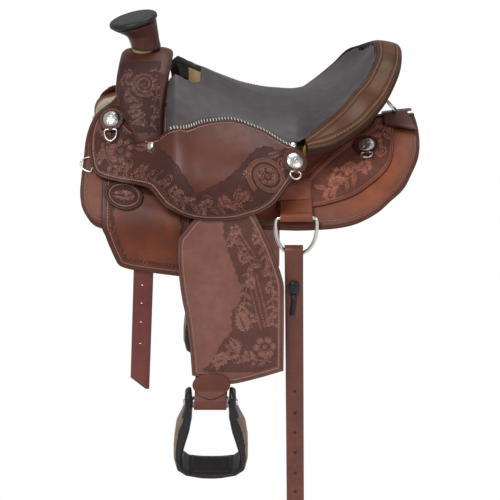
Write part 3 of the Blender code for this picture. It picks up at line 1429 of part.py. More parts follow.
for side, tag in SIDES:
    for name, (form, x, drop, lift) in CONCHOS.items():
        frame = resting_frame(form, x, drop, lift, side, ROSETTE_RADIUS)
        here, ahead, down, out = frame
        sit = frame_matrix(frame)
        concho = new_object(tag + "_" + name + "_concho", placed(rosette_mesh, sit), "silver")
        fuse(concho, cutter(tag + " " + name + " dome", placed(
            concho_mesh, sit @ Matrix.Translation((0, 0, ROSETTE - GAP)))), solver="MANIFOLD")
        distance, width, height = STRING_DEES[name]
        foot = here + down * distance + out * ROSETTE * 0.3
        axis = foot + out * (DEE_KEEPER * 0.42 + ROSETTE * 0.7)
        bar = Matrix.Translation(foot) @ Matrix((ahead, down * -side, out)).transposed().to_4x4()
        keep_dee(concho, tag + " " + name, bar, axis, ahead, 0.009)
        loop = [axis + ahead * u - down * v for u, v in d_loop(width, height, 0.004, 8)]
        wire(tag + "_" + name + "_string_dee", loop, DEE_WIRE, "silver", axis, sides=1)

# Breast collar dees under the front edges of the seat jockeys
COLLAR_X = -0.2935
COLLAR_DROP = 0.160
COLLAR_WIDTH = 0.030
COLLAR_REACH = 0.0235
for side, tag in SIDES:
    here, ahead, down, out = back.frame(COLLAR_X, COLLAR_DROP, SKIRT_HIGH, side)
    axis = here + out * (DEE_KEEPER * 0.42)
    bar = (Matrix.Translation(here - out * SKIRT / 3)
           @ Matrix((down, ahead * side, out)).transposed().to_4x4())
    keep_dee(bpy.data.objects[tag + "_skirt"], tag + " collar", bar, axis, down, 0.016)
    loop = [axis + down * u + ahead * v for u, v in d_loop(COLLAR_WIDTH, COLLAR_REACH, 0.004, 8)]
    wire(tag + "_breast_collar_dee", loop, DEE_WIRE, "silver", axis, sides=1)


# Rear connector with the crupper dee

CONNECTOR_LOW = HOUSING_HIGH + GAP


def over_crest(x, y, lift):
    if abs(y) < 1e-6:
        crest = back.place(x, 0.0, lift)
        return Vector((x, 0.0, crest.z + 0.0013))
    return back.place(x, abs(y), lift, 1 if y > 0 else -1)


CONNECTOR_HALF = [(0.256, 0.0), (0.256, 0.030), (0.318, 0.054), (0.302, 0.0)]


def connector_mesh():
    """The connector's blank, one half mirrored over the crest."""
    bm = bmesh.new()
    bm.faces.new([bm.verts.new((x, y, 0)) for x, y in CONNECTOR_HALF])
    score(bm, back)
    bmesh.ops.mirror(bm, geom=bm.verts[:] + bm.edges[:] + bm.faces[:], merge_dist=1e-5, axis="Y")
    bmesh.ops.recalc_face_normals(bm, faces=bm.faces)
    return thicken(bm, "rear_connector", over_crest, CONNECTOR_LOW, CONNECTOR_LOW + CONNECTOR)


connector = new_object("rear_connector", connector_mesh(), "tooled leather")
CRUPPER_X = 0.279
CRUPPER_WIDTH = 0.026
CRUPPER_HEIGHT = 0.030
CRUPPER_LEAN = math.radians(42)
foot = over_crest(CRUPPER_X, 0.0, CONNECTOR_LOW + CONNECTOR) - Vector((0, 0, CONNECTOR / 2))
axis = foot + Vector((0, 0, CONNECTOR / 2 + DEE_KEEPER * 0.5))
keeper = (Matrix.Translation(foot + Vector((0, 0, CONNECTOR / 2)))
          @ Matrix.Rotation(math.pi / 2, 4, "Z"))
keep_dee(connector, "crupper", keeper, axis, Vector((0, 1, 0)), 0.012)
lean = Vector((-math.sin(CRUPPER_LEAN), 0, math.cos(CRUPPER_LEAN)))
loop = [axis + Vector((0, u, 0)) - lean * v
        for u, v in d_loop(CRUPPER_WIDTH, CRUPPER_HEIGHT, 0.005, 8)]
wire("crupper_dee", loop, DEE_WIRE, "silver", axis, sides=1)

bpy.context.view_layer.update()
print("parts", len(saddle.objects))
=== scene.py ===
# Wade saddle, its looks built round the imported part. Metres; +X to the tail, +Y off side, +Z up.
import json
import math

import bmesh
import bpy
import numpy as np
from mathutils import Matrix, Vector
from mathutils.geometry import delaunay_2d_cdt


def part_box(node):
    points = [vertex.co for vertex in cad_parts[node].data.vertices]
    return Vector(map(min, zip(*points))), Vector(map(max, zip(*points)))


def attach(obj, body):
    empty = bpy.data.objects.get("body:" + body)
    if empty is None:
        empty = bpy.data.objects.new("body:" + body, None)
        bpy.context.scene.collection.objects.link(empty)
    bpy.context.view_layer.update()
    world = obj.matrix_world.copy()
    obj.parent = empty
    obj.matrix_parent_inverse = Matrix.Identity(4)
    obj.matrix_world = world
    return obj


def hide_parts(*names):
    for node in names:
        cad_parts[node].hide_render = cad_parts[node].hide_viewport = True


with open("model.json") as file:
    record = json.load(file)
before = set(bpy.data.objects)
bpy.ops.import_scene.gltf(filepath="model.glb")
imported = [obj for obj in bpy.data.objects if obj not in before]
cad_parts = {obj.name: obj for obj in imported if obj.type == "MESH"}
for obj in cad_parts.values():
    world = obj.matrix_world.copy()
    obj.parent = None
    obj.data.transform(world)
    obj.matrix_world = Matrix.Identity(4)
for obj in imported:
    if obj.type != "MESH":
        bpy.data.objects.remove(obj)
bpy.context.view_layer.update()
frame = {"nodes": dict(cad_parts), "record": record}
print("stage: frame loaded,", len(frame["nodes"]), "nodes")

sides = ((-1, "near"), (1, "off"))

# Layers and sizes, as the solids have them
gap = 0.0004
fleeceThick = 0.012
skirtLow = fleeceThick + gap
skirtHigh = skirtLow + 0.005
rigLow = skirtHigh + gap
rigHigh = rigLow + 0.004
housingHigh = rigLow + 0.0045
keeperLow = rigHigh + gap
keeperHigh = keeperLow + 0.0035
backHem = 0.183
hemBend = 0.010
hemFall = 50.0
lean = math.radians(3.5)
leatherWidth = 0.0627
strapThick = 0.004
fenderIn = 2 * strapThick + gap
fenderOut = fenderIn + 0.0042
hangZ = -0.088
leatherIn = (backHem + hemBend * math.cos(math.radians(hemFall)) / 2 + rigHigh + 0.0008
             + math.sin(lean) * leatherWidth / 2)
lip = leatherIn + fenderOut + 0.0008 + 0.0045
gridStart, gridLength, gridDepth = -0.35, 0.72, 0.40

backStations = [
    (-0.33, 0.094, 44, backHem, -0.107, 52, 0.09, 0.09),
    (-0.20, 0.058, 32, backHem, -0.117, 52, 0.09, 0.09),
    (0.00, 0.000, 12, backHem, -0.122, hemFall, 0.08, 0.08),
    (0.09, 0.001, 11, backHem + 0.003, -0.122, 49, 0.08, 0.08),
    (0.20, 0.009, 10, backHem + 0.008, -0.116, 47, 0.08, 0.08),
    (0.34, 0.025, 10, backHem + 0.015, -0.103, 44, 0.08, 0.08),
]
seatStations = [
    (-0.300, 0.1300, 40, 0.165, -0.036, 49, 0.08, 0.08),
    (-0.230, 0.1420, 42, 0.172, -0.045, 56, 0.08, 0.07),
    (-0.180, 0.1540, 34, lip - 0.029, -0.048, 74, 0.07, 0.07),
    (-0.145, 0.1665, 12, lip - 0.004, -0.044, 87, 0.075, 0.07),
    (-0.115, 0.1495, 10, lip, -0.042, 90, 0.08, 0.07),
    (-0.080, 0.1290, 9, lip, -0.042, 90, 0.085, 0.07),
    (-0.040, 0.1105, 7, lip, -0.042, 90, 0.09, 0.07),
    (0.000, 0.0900, 4, lip, -0.042, 90, 0.1, 0.07),
    (0.040, 0.0775, 0, lip - 0.002, -0.043, 88, 0.1, 0.07),
    (0.090, 0.0775, 0, lip - 0.014, -0.060, 72, 0.11, 0.09),
    (0.130, 0.0800, 0, lip - 0.021, -0.065, 66, 0.11, 0.09),
]
skirtBlank = [
    (-0.252, 0.002, 1), (-0.261, 0.020), (-0.2915, 0.055), (-0.307, 0.100), (-0.3115, 0.149),
    (-0.315, 0.191), (-0.316, 0.217), (-0.3125, 0.241), (-0.3055, 0.253), (-0.2905, 0.266),
    (-0.27, 0.269), (-0.20, 0.2545), (-0.10, 0.2365), (0.00, 0.2235), (0.055, 0.2240),
    (0.09, 0.2262), (0.128, 0.2275), (0.168, 0.2275), (0.2015, 0.2237), (0.238, 0.2103),
    (0.265, 0.189), (0.2865, 0.170), (0.302, 0.1415), (0.315, 0.112), (0.320, 0.083),
    (0.3205, 0.045), (0.317, 0.002, 1),
]
rearJockeyBlank = [
    (0.2420, 0.003, 1), (0.2315, 0.030), (0.209, 0.0485), (0.184, 0.064), (0.158, 0.085),
    (0.132, 0.109), (0.108, 0.134, 1), (0.052, 0.150, 1), (0.050, 0.1948, 1), (0.1186, 0.193),
    (0.1464, 0.1892), (0.191, 0.178), (0.2254, 0.1566), (0.2513, 0.135), (0.2661, 0.110),
    (0.2725, 0.069), (0.2735, 0.003, 1),
]
rigBlank = [
    (-0.2745, 0.172, 1), (-0.2745, 0.267), (-0.2685, 0.277), (-0.2505, 0.3235),
    (-0.2425, 0.334), (-0.2185, 0.337), (-0.1795, 0.3355), (-0.134, 0.3325),
    (-0.104, 0.330, 1), (-0.104, 0.172, 1),
]
seam = [
    (-0.1553, 0.1843), (-0.1243, 0.1816), (-0.0916, 0.1526), (-0.0648, 0.1366), (-0.0389, 0.1235),
    (-0.0185, 0.1205), (0.0055, 0.1252), (0.0295, 0.1342), (0.0535, 0.152), (0.0755, 0.1622),
    (0.0865, 0.1556),
]
jockeyFront = [
    (-0.26, 0.0805, 1), (-0.284, 0.0959), (-0.297, 0.123), (-0.3005, 0.159), (-0.297, 0.192),
    (-0.2895, 0.2145), (-0.2725, 0.2278), (-0.22, 0.2484), (-0.1905, 0.2674), (-0.181, 0.2798),
    (-0.167, 0.308), (-0.152, 0.3333), (-0.128, 0.35), (-0.096, 0.3477), (-0.073, 0.3435),
    (-0.0255, 0.3298), (-0.002, 0.3181), (0.0155, 0.3103), (0.0375, 0.2929), (0.053, 0.273),
    (0.071, 0.2432), (0.084, 0.2216), (0.0915, 0.19),
]
jockeyUnderFork = [
    (-0.1659, 0.1843), (-0.1853, 0.1743), (-0.2126, 0.1475), (-0.2342, 0.1205),
    (-0.2485, 0.085, 1),
]
seatX = [-0.156, -0.140, -0.119, -0.098, -0.077, -0.056, -0.035, -0.014, 0.007, 0.028, 0.049,
         0.070, 0.0865]
fenderBlank = [
    (-0.1225, 0.0235), (-0.1030, -0.001), (-0.083, -0.018), (-0.055, -0.030), (-0.018, -0.029),
    (0.003, -0.019), (0.0128, -0.005), (0.0331, 0.038), (0.0509, 0.085), (0.0623, 0.125),
    (0.0635, 0.157), (0.0638, 0.240), (0.0638, 0.3035, 1), (0.015, 0.319), (-0.0343, 0.331),
    (-0.060, 0.325), (-0.0818, 0.3175), (-0.098, 0.3165), (-0.1102, 0.313, 1), (-0.1138, 0.253),
    (-0.120, 0.195), (-0.127, 0.155), (-0.1318, 0.111), (-0.1336, 0.071), (-0.1318, 0.037),
]



# Forms: the surfaces that flat leather is bent over

def cubic(p1, m1, p2, m2, t):  # from p1 along m1 to p2 along m2
    return ((2 * t**3 - 3 * t**2 + 1) * p1 + (t**3 - 2 * t**2 + t) * m1
            + (3 * t**2 - 2 * t**3) * p2 + (t**3 - t**2) * m2)


def hermite(rows, x):
    places = [row[0] for row in rows]
    values = np.array([row[1:] for row in rows], float)
    last = len(rows) - 1
    if not places[0] < x < places[last]:
        return values[0 if x <= places[0] else last]
    i = max(k for k in range(last) if places[k] <= x)

    def slope(k):
        before, after = max(k - 1, 0), min(k + 1, last)
        return (values[after] - values[before]) / (places[after] - places[before])

    span = places[i + 1] - places[i]
    return cubic(values[i], span * slope(i), values[i + 1], span * slope(i + 1),
                 (x - places[i]) / span)


def lengthAlong(line):
    return np.concatenate([[0], np.cumsum(np.linalg.norm(np.diff(line, axis=0), axis=1))])


def sectionAt(stations, bend, x):
    curvePoints, hangSteps, hangStep = 29, 60, 0.005
    paintedHighlight, fall, half, low, hem, topHandle, hemHandle = hermite(stations, x)
    fall, hem = math.radians(fall), math.radians(hem)
    a, d = np.array([0.0, paintedHighlight]), np.array([half, low])
    b = a + topHandle * np.array([math.cos(fall), -math.sin(fall)])
    c = d - hemHandle * np.array([math.cos(hem), -math.sin(hem)])
    t = np.linspace(0, 1, curvePoints)[:, None]
    curve = list((1 - t)**3 * a + 3 * (1 - t)**2 * t * b + 3 * (1 - t) * t * t * c + t**3 * d)
    for k in range(hangSteps):
        turned = min(1.0, (k + 0.5) * hangStep / bend) if bend else 0.0
        angle = hem + (math.pi / 2 - hem) * turned
        curve.append(curve[-1] + hangStep * np.array([math.cos(angle), -math.sin(angle)]))
    return np.array(curve), lengthAlong(np.array(curve))


def refined(field, times):  # smooth curve through the solids' own grid points
    count = field.shape[0]
    places = np.linspace(0, count - 1, (count - 1) * times + 1)
    i = np.minimum(places.astype(int), count - 2)
    t = (places - i).reshape((-1,) + (1,) * (field.ndim - 1))
    p0, p1 = field[np.maximum(i - 1, 0)], field[i]
    p2, p3 = field[i + 1], field[np.minimum(i + 2, count - 1)]
    return cubic(p1, (p2 - p0) / 2, p2, (p3 - p1) / 2, t)


def makeForm(stations, stepX, stepDrop, bend):
    reach, finer = 0.003, 8
    drops = np.arange(math.ceil(gridDepth / stepDrop) + 1) * stepDrop
    columns = []
    for i in range(math.ceil(gridLength / stepX) + 1):
        curve, length = sectionAt(stations, bend, gridStart + i * stepX)

        def at(where):
            return np.stack([np.interp(where, length, curve[:, k]) for k in (0, 1)], 1)

        run = at(drops + reach) - at(np.maximum(0, drops - reach))
        run /= np.linalg.norm(run, axis=1)[:, None]
        columns.append(np.column_stack([at(drops), -run[:, 1], run[:, 0]]))
    fine = refined(np.array(columns), finer).transpose(1, 0, 2)
    return {"field": refined(fine, finer).transpose(1, 0, 2), "stepX": stepX / finer,
            "stepDrop": stepDrop / finer}


back = makeForm(backStations, 0.058, 0.040, hemBend)
outside = makeForm(seatStations, 0.042, 0.030, None)


def onForm(form, side):
    def bend(x, drop, lift):
        field = form["field"]
        a = (x - gridStart) / form["stepX"]
        b = np.maximum(drop, 0) / form["stepDrop"]
        i = np.clip(a.astype(int), 0, field.shape[0] - 2)
        j = np.clip(b.astype(int), 0, field.shape[1] - 2)
        u, v = (a - i)[:, None], (b - j)[:, None]
        mix = ((1 - u) * (1 - v) * field[i, j] + u * (1 - v) * field[i + 1, j]
               + (1 - u) * v * field[i, j + 1] + u * v * field[i + 1, j + 1])
        normal = mix[:, 2:] / np.linalg.norm(mix[:, 2:], axis=1)[:, None]
        yz = mix[:, :2] + np.reshape(lift, (-1, 1)) * normal
        return np.stack([x, side * yz[:, 0], yz[:, 1]], 1)
    return bend


def onHang(side):  # the leaning plane of a fender: x, distance down, distance out
    def bend(x, along, out):
        y = leatherIn + along * math.sin(lean) + out * math.cos(lean)
        z = hangZ - along * math.cos(lean) + out * math.sin(lean)
        return np.stack([x, side * y, z], 1)
    return bend


def smoothLoop(points, step=0.006, closed=True):
    count = len(points)
    made = []
    for i in range(count if closed else count - 1):
        def pick(k):
            k = k % count if closed else min(max(k, 0), count - 1)
            return np.array(points[k][:2], float)
        p0, p1, p2, p3 = (pick(i + k) for k in (-1, 0, 1, 2))
        run = p2 - p1
        longest = np.linalg.norm(run)

        def eased(corner, along):  # straight at a sharp corner, and never longer than the run
            along = run if len(corner) > 2 and closed else along / 2
            return along * min(1.0, longest / max(np.linalg.norm(along), 1e-9))

        m1, m2 = eased(points[i], p2 - p0), eased(points[(i + 1) % count], p3 - p1)
        pieces = max(1, round(longest / step))
        made += [cubic(p1, m1, p2, m2, k / pieces) for k in range(pieces)]
    if not closed:
        made.append(np.array(points[-1][:2], float))
    return np.array(made)


farAway = 9.0


def insetLoop(loop, distance):
    ahead = np.roll(loop, -1, 0)
    area = np.sum(loop[:, 0] * ahead[:, 1] - ahead[:, 0] * loop[:, 1])
    before = loop - np.roll(loop, 1, 0)
    after = ahead - loop
    run = (before / np.linalg.norm(before, axis=1)[:, None]
           + after / np.linalg.norm(after, axis=1)[:, None])
    normal = np.stack([-run[:, 1], run[:, 0]], 1) * (1 if area > 0 else -1)
    return loop + distance * normal / np.maximum(np.linalg.norm(normal, axis=1), 1e-9)[:, None]


def edgeData(points, loop):  # distance to the outline, how far along it, and whether inside
    run = np.roll(loop, -1, 0) - loop
    length = np.linalg.norm(run, axis=1)
    start = np.concatenate([[0], np.cumsum(length)[:-1]])
    best = np.full(len(points), farAway)
    along = np.zeros(len(points))
    inside = np.zeros(len(points), bool)
    for k in range(len(loop)):
        rel = points - loop[k]
        t = np.clip((rel @ run[k]) / length[k]**2, 0, 1)
        far = np.hypot(*(rel - t[:, None] * run[k]).T)
        nearer = far < best
        best = np.where(nearer, far, best)
        along = np.where(nearer, start[k] + t * length[k], along)
        y0, y1 = loop[k, 1], loop[k, 1] + run[k, 1]
        crosses = (y0 > points[:, 1]) != (y1 > points[:, 1])
        at = loop[k, 0] + (points[:, 1] - y0) * run[k, 0] / (run[k, 1] if run[k, 1] else 1e-12)
        inside ^= crosses & (points[:, 0] < at)
    return best, along, inside


def fillLoop(loop, step):  # triangles inside an outline, and its own points among them
    rowShare, rimShare = 0.87, 0.55
    low, high = loop.min(0), loop.max(0)
    rows = []
    for j, y in enumerate(np.arange(low[1], high[1], step * rowShare)):
        xs = np.arange(low[0] + (j % 2) * step / 2, high[0], step)
        rows.append(np.stack([xs, np.full(len(xs), y)], 1))
    grid = np.concatenate(rows)
    far, _, inside = edgeData(grid, loop)
    grid = grid[inside & (far > step * rimShare)]
    points = np.concatenate([loop, grid])
    count = len(loop)
    verts, _, faces, origins, _, _ = delaunay_2d_cdt(
        [Vector(p) for p in points], [(k, (k + 1) % count) for k in range(count)], [], 1, 1e-7)
    index = {}
    for k, sources in enumerate(origins):
        for source in sources:
            index[source] = k
    rim = [index[k] for k in range(count)]
    return np.array([tuple(v) for v in verts]), [tuple(f) for f in faces], rim


looks = {}
edgeReach = 0.05  # how far in from an edge its distance is kept
carveDepth, highestCrest = 0.0005, -0.4
edgeRound = 0.0014
underStep = 0.016  # the hidden face of a sheet is coarse
mergeDistance = 1e-5
bodyOf = {member: body for body, members in frame["record"]["behaviour"]["bodies"].items()
          for member in members}


def link(item):
    bpy.context.scene.collection.objects.link(item)


def addPiece(piece, name, mesh, body="saddle"):  # link, dress and fasten one new piece
    made = bpy.data.objects.new(name, mesh)
    link(made)
    mesh.materials.clear()
    mesh.materials.append(looks[piece["look"]])
    mesh.shade_smooth()
    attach(made, body)
    for solid in piece.get("stands", ()):
        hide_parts(solid)
    return made


def setLook(mesh, data):
    layer = mesh.attributes.new("look", "FLOAT_VECTOR", "POINT")
    layer.data.foreach_set("vector", np.asarray(data, np.float32).ravel())


def viaBmesh(name, mesh, change):  # a new mesh, changed on the way
    bm = bmesh.new()
    bm.from_mesh(mesh)
    change(bm)
    made = bpy.data.meshes.new(name)
    bm.to_mesh(made)
    bm.free()
    return made


def builtMesh(name, verts, faces, look=None):  # with its normals turned outwards
    def turnOut(bm):
        bmesh.ops.recalc_face_normals(bm, faces=bm.faces)
        if bm.calc_volume(signed=True) < 0:
            bmesh.ops.reverse_faces(bm, faces=bm.faces)
    mesh = bpy.data.meshes.new(name + "_raw")
    mesh.from_pydata(np.array(verts, float).tolist(), [], faces)
    if look is not None:
        setLook(mesh, look)
    return viaBmesh(name, mesh, turnOut)


def ringFaces(rings):  # quads between closed rings of vertex numbers
    return [(a[k - 1], a[k], b[k], b[k - 1]) for a, b in zip(rings, rings[1:])
            for k in range(len(a))]


def tubes(name, shapes, look=None):  # skins through closed rings of points, ends capped
    verts, faces = [], []
    for rings in shapes:
        count, first = len(rings[0]), len(verts)
        rows = [[first + i * count + k for k in range(count)] for i in range(len(rings))]
        faces += ringFaces(rows) + [rows[0], rows[-1]]
        verts += [point for ring in rings for point in ring]
    return builtMesh(name, verts, faces, look)


def sheetMesh(name, loop, bendTo, low, high, step, tool=None):
    rounding = min(edgeRound, (high - low) * 0.32)
    inner = insetLoop(loop, rounding * 0.9)
    top, topFaces, topRim = fillLoop(inner, step)
    under, underFaces, underRim = fillLoop(inner, max(underStep, step))
    far, along, _ = edgeData(top, loop)
    # the tooling values hold the carved depth and, where negative, a painted highlight on the
    # crests
    toolDepthAndHighlight = tool(top[:, 0], top[:, 1], far) if tool else np.zeros(len(top))
    layers = [(top, high - carveDepth * np.maximum(toolDepthAndHighlight, highestCrest)), (loop, high - rounding),
              (loop, low + rounding), (under, low)]
    places = [bendTo(flat[:, 0], flat[:, 1], lift + np.zeros(len(flat))) for flat, lift in layers]
    first = np.cumsum([0] + [len(p) for p in places])
    rings = [topRim, range(first[1], first[2]), range(first[2], first[3]),
             [first[3] + k for k in underRim]]
    faces = topFaces + [tuple(first[3] + k for k in reversed(f)) for f in underFaces]
    look = np.zeros((first[-1], 3))
    look[:len(top)] = np.stack([np.clip(1 - far / edgeReach, 0, 1), along, toolDepthAndHighlight], 1)
    look[first[1]:first[3], 0] = 1.0
    return builtMesh(name, np.concatenate(places), faces + ringFaces(rings), look)


def applied(mesh, name, *modifiers):  # a mesh with modifiers applied
    made = bpy.data.objects.new(name, mesh)
    link(made)
    for kind, settings in modifiers:
        added = made.modifiers.new(kind, kind)
        for key, value in settings.items():
            setattr(added, key, value)
    graph = bpy.context.evaluated_depsgraph_get()
    graph.update()
    result = bpy.data.meshes.new_from_object(made.evaluated_get(graph))
    bpy.data.objects.remove(made, do_unlink=True)
    result.name = name
    return result


def softened(piece, solid):  # a node's shape remeshed fine and rubbed round
    return applied(solid.copy(), piece["node"] + "_skin",
                   ("REMESH", {"mode": "VOXEL", "voxel_size": piece["voxel"]}),
                   ("SMOOTH", {"iterations": piece["rounds"], "factor": 0.5}))


def rounded(piece, solid):  # a node's shape with its edges rounded
    def joinFlats(bm):
        bmesh.ops.remove_doubles(bm, verts=bm.verts, dist=mergeDistance)
        bmesh.ops.dissolve_limit(bm, angle_limit=math.radians(1.5), verts=bm.verts,
                                 edges=bm.edges)
    return applied(viaBmesh(piece["node"] + "_base", solid, joinFlats), piece["node"] + "_skin",
                   ("BEVEL", {"width": 0.0008, "segments": 2, "limit_method": "ANGLE",
                              "angle_limit": math.radians(40), "harden_normals": False}))


def subdivided(piece, solid):  # a bent wire, rounded between its rings
    def joinQuads(bm):
        bmesh.ops.remove_doubles(bm, verts=bm.verts, dist=mergeDistance)
        bmesh.ops.join_triangles(bm, faces=bm.faces, angle_face_threshold=0.8,
                                 angle_shape_threshold=1.6)
    return applied(viaBmesh(piece["node"] + "_base", solid, joinQuads), piece["node"] + "_skin",
                   ("SUBSURF", {"levels": 2, "render_levels": 2}))


# Tooling: heights of traditional leaves, flowers and scrolls; 0 is the ground, 1 the top

def flower(x, d, at, radius, petals=5, turn=0.3):  # cupped petals round a beaded centre
    u, v = x - at[0], d - at[1]
    rho, theta = np.hypot(u, v), np.arctan2(v, u)
    wave = np.abs(np.cos(petals / 2 * theta + turn))
    reach = rho / (radius * (0.68 + 0.32 * wave**0.5))
    petal = np.clip(1.15 - np.abs(reach - 0.66) / 0.40, 0, 1) * np.clip(wave / 0.30, 0.25, 1)
    petal *= 0.86 + 0.14 * np.cos(theta * petals * 4)
    centre = np.clip(1.2 - (rho / (radius * 0.26))**2, 0, 1)
    centre *= 0.75 + 0.25 * np.cos(rho / radius * 60)
    return np.where(reach < 1, np.where(rho < radius * 0.28, centre, petal), 0)


def scroll(x, d, at, radius, start=0.0, hand=1, turns=1.9):  # a ridge that winds inwards
    u, v = x - at[0], (d - at[1]) * hand
    rho, theta = np.hypot(u, v), np.mod(np.arctan2(v, u) - start, 2 * math.pi)
    height = np.zeros_like(x)
    for k in range(3):
        share = (theta + 2 * math.pi * k) / (2 * math.pi * turns)
        where = radius * (1 - 0.78 * share)
        wide = radius * (0.16 - 0.05 * share)
        ridge = np.exp(-((rho - where) / wide)**4) * (share < 1)
        ridge *= 1 - 0.35 * np.exp(-((rho - where + wide * 0.3) / (wide * 0.25))**2)
        height = np.maximum(height, ridge)
    return np.maximum(height, np.clip(1.1 - (rho / (radius * 0.17))**2, 0, 1))


def leaf(x, d, start, end, width, lobes=5):  # lobed, with a vein and ribs
    a, b = np.array(start), np.array(end)
    run = b - a
    length = math.hypot(*run)
    run /= length
    t = ((x - a[0]) * run[0] + (d - a[1]) * run[1]) / length
    s = (x - a[0]) * -run[1] + (d - a[1]) * run[0]
    inside = (t > 0) & (t < 1)
    swell = np.sin(math.pi * np.clip(t, 0, 1)**0.75)
    half = width * swell * (1 + 0.16 * np.cos(2 * math.pi * lobes * t)) + 1e-5
    body = np.clip((1 - np.abs(s) / half) * 3, 0, 1)
    vein = 1 - 0.8 * np.exp(-(s / (width * 0.09))**2)
    ribs = 0.84 + 0.16 * np.cos(2 * math.pi * (t * lobes * 1.6 - np.abs(s) / width))
    return np.where(inside, body * vein * ribs, 0)


def alongLine(x, d, path):  # distance to a line, and how far along it
    path = np.array(path, float)
    best, along, total = np.full_like(x, farAway), np.zeros_like(x), 0.0
    for a, b in zip(path, path[1:]):
        run = b - a
        length = math.hypot(*run)
        t = np.clip(((x - a[0]) * run[0] + (d - a[1]) * run[1]) / length**2, 0, 1)
        far = np.hypot(x - a[0] - t * run[0], d - a[1] - t * run[1])
        along = np.where(far < best, total + t * length, along)
        best = np.minimum(best, far)
        total += length
    return best, along


def stem(x, d, path, width=0.0016):
    far, _ = alongLine(x, d, smoothLoop(path, closed=False))
    return np.exp(-(far / width)**4)


def beads(x, d, path, radius):
    far, along = alongLine(x, d, smoothLoop(path, closed=False))
    off = np.mod(along, radius * 2.3) - radius * 1.15
    return np.clip(1.3 - np.hypot(far, off) / radius, 0, 1)


def carveAndHighlight(region, *heights):  # matted ground inside the region, motifs standing up in it
    groundDark, groundRise, motifFrom = 0.80, 0.20, 0.30
    bodyDark, bodyFade, highlightStrength, crestAt, crestHalf = 0.46, 0.34, 0.60, 0.82, 0.12
    height = np.zeros_like(region)
    for one in heights:
        height = np.maximum(height, one)
    ground = groundDark + groundRise * np.clip(height * 4, 0, 1)
    # painted highlight: a band along each motif's crest is lightened in colour, given as negative
    # values
    paintedHighlight = np.exp(-((height - crestAt) / crestHalf)**2)
    body = bodyDark - bodyFade * height - highlightStrength * paintedHighlight
    return np.clip(region, 0, 1) * np.where(height > motifFrom, body, ground)


def ramp(value, low, high):
    return np.clip((value - low) / (high - low), 0, 1)


def band(value, low, high, soft=0.0006):  # 1 between two values, with soft ends
    return ramp(value, low, low + soft) * (1 - ramp(value, high, high + soft))


def vineMotifs(x, d, path, pitch, size, first=0):  # leaves to both sides of a stem
    line = smoothLoop(path, 0.004, closed=False)
    length = lengthAlong(line)
    made = [stem(x, d, path)]
    for k, place in enumerate(np.arange(pitch / 2, length[-1], pitch)):
        here, more = (np.array([np.interp(where, length, line[:, i]) for i in (0, 1)])
                      for where in (place, place + 0.004))
        run = (more - here) / max(np.linalg.norm(more - here), 1e-9)
        left = np.array([-run[1], run[0]]) * (1 if (k + first) % 2 else -1)
        kind = (k + first) % 3
        if kind == 0:
            made.append(flower(x, d, here + left * size * 0.25, size * 0.62, 5, k * 1.1))
        elif kind == 1:
            made.append(scroll(x, d, here + left * size * 0.55, size * 0.50, k,
                               1 if k % 2 else -1))
        made.append(leaf(x, d, here, here + (run * 0.9 - left * 0.75) * size, size * 0.24))
        made.append(leaf(x, d, here, here + (run * 0.5 + left * 0.95) * size, size * 0.20))
    return made


def banner(x, d, start, end, half=0.0085):  # two parallel lines with beads between them
    a, b = np.array(start), np.array(end)
    side = np.array([-(b - a)[1], (b - a)[0]]) / math.hypot(*(b - a)) * half
    return [stem(x, d, [a + side, (a + b) / 2 + side, b + side], 0.0017),
            stem(x, d, [a - side, (a + b) / 2 - side, b - side], 0.0017),
            beads(x, d, [a, (a + b) / 2, b], 0.0026)]


def drawn(x, d, motifs):  # the heights of all motifs in one table
    made = [draw(x, d, *one) for kind, draw in
            (("flowers", flower), ("scrolls", scroll), ("leaves", leaf))
            for one in motifs.get(kind, ())]
    for kind, draw in (("vines", vineMotifs), ("banners", banner)):
        for one in motifs.get(kind, ()):
            made += draw(x, d, *one)
    return made


def within(x, d, outline):
    inside = np.zeros(len(x), bool)
    for (ax, ad), (bx, bd) in zip(outline, outline[1:] + outline[:1]):
        crosses = (ad > d) != (bd > d)
        inside ^= crosses & (x < (bx - ax) * (d - ad) / (bd - ad + 1e-12) + ax)
    return inside


plainField = [(-0.172, 0.182), (-0.163, 0.212), (-0.142, 0.245), (-0.127, 0.263), (-0.112, 0.281),
              (-0.097, 0.296), (-0.079, 0.281), (-0.058, 0.266), (-0.043, 0.254), (-0.019, 0.227),
              (-0.004, 0.203), (0.011, 0.182), (0.032, 0.170), (0.053, 0.179), (0.090, 0.150),
              (0.030, 0.080), (-0.060, 0.080), (-0.150, 0.150)]
jockeyMotifs = {
    "flowers": [((-0.241, 0.178), 0.027, 8), ((0.030, 0.236), 0.020, 6),
                ((-0.126, 0.315), 0.016, 5)],
    "scrolls": [((0.032, 0.236), 0.036, 2.2, 1, 2.3), ((0.062, 0.206), 0.012, 1.0, -1)],
    "leaves": [((-0.196, 0.170), (-0.176, 0.214), 0.010),
               ((-0.210, 0.150), (-0.180, 0.165), 0.008),
               ((-0.262, 0.150), (-0.285, 0.118), 0.012),
               ((-0.222, 0.150), (-0.246, 0.112), 0.010),
               ((0.058, 0.212), (0.074, 0.186), 0.010), ((0.000, 0.268), (-0.024, 0.300), 0.010),
               ((-0.215, 0.176), (-0.186, 0.196), 0.010),
               ((-0.270, 0.178), (-0.290, 0.200), 0.008),
               ((0.030, 0.198), (0.062, 0.180), 0.009), ((0.064, 0.240), (0.050, 0.276), 0.009),
               ((0.000, 0.226), (-0.014, 0.252), 0.008)],
    "vines": [([(-0.275, 0.160), (-0.262, 0.200), (-0.225, 0.226), (-0.186, 0.250),
                (-0.158, 0.296), (-0.126, 0.320), (-0.080, 0.318), (-0.040, 0.302),
                (-0.006, 0.276)], 0.017, 0.024)],
}
fenderField = [(-0.094, 0.306), (-0.075, 0.285), (-0.055, 0.245), (-0.036, 0.222), (-0.036, 0.180),
               (-0.021, 0.165), (-0.019, 0.135), (-0.026, 0.108), (-0.038, 0.072), (-0.050, 0.035),
               (-0.050, -0.020), (0.090, -0.020), (0.090, 0.306)]
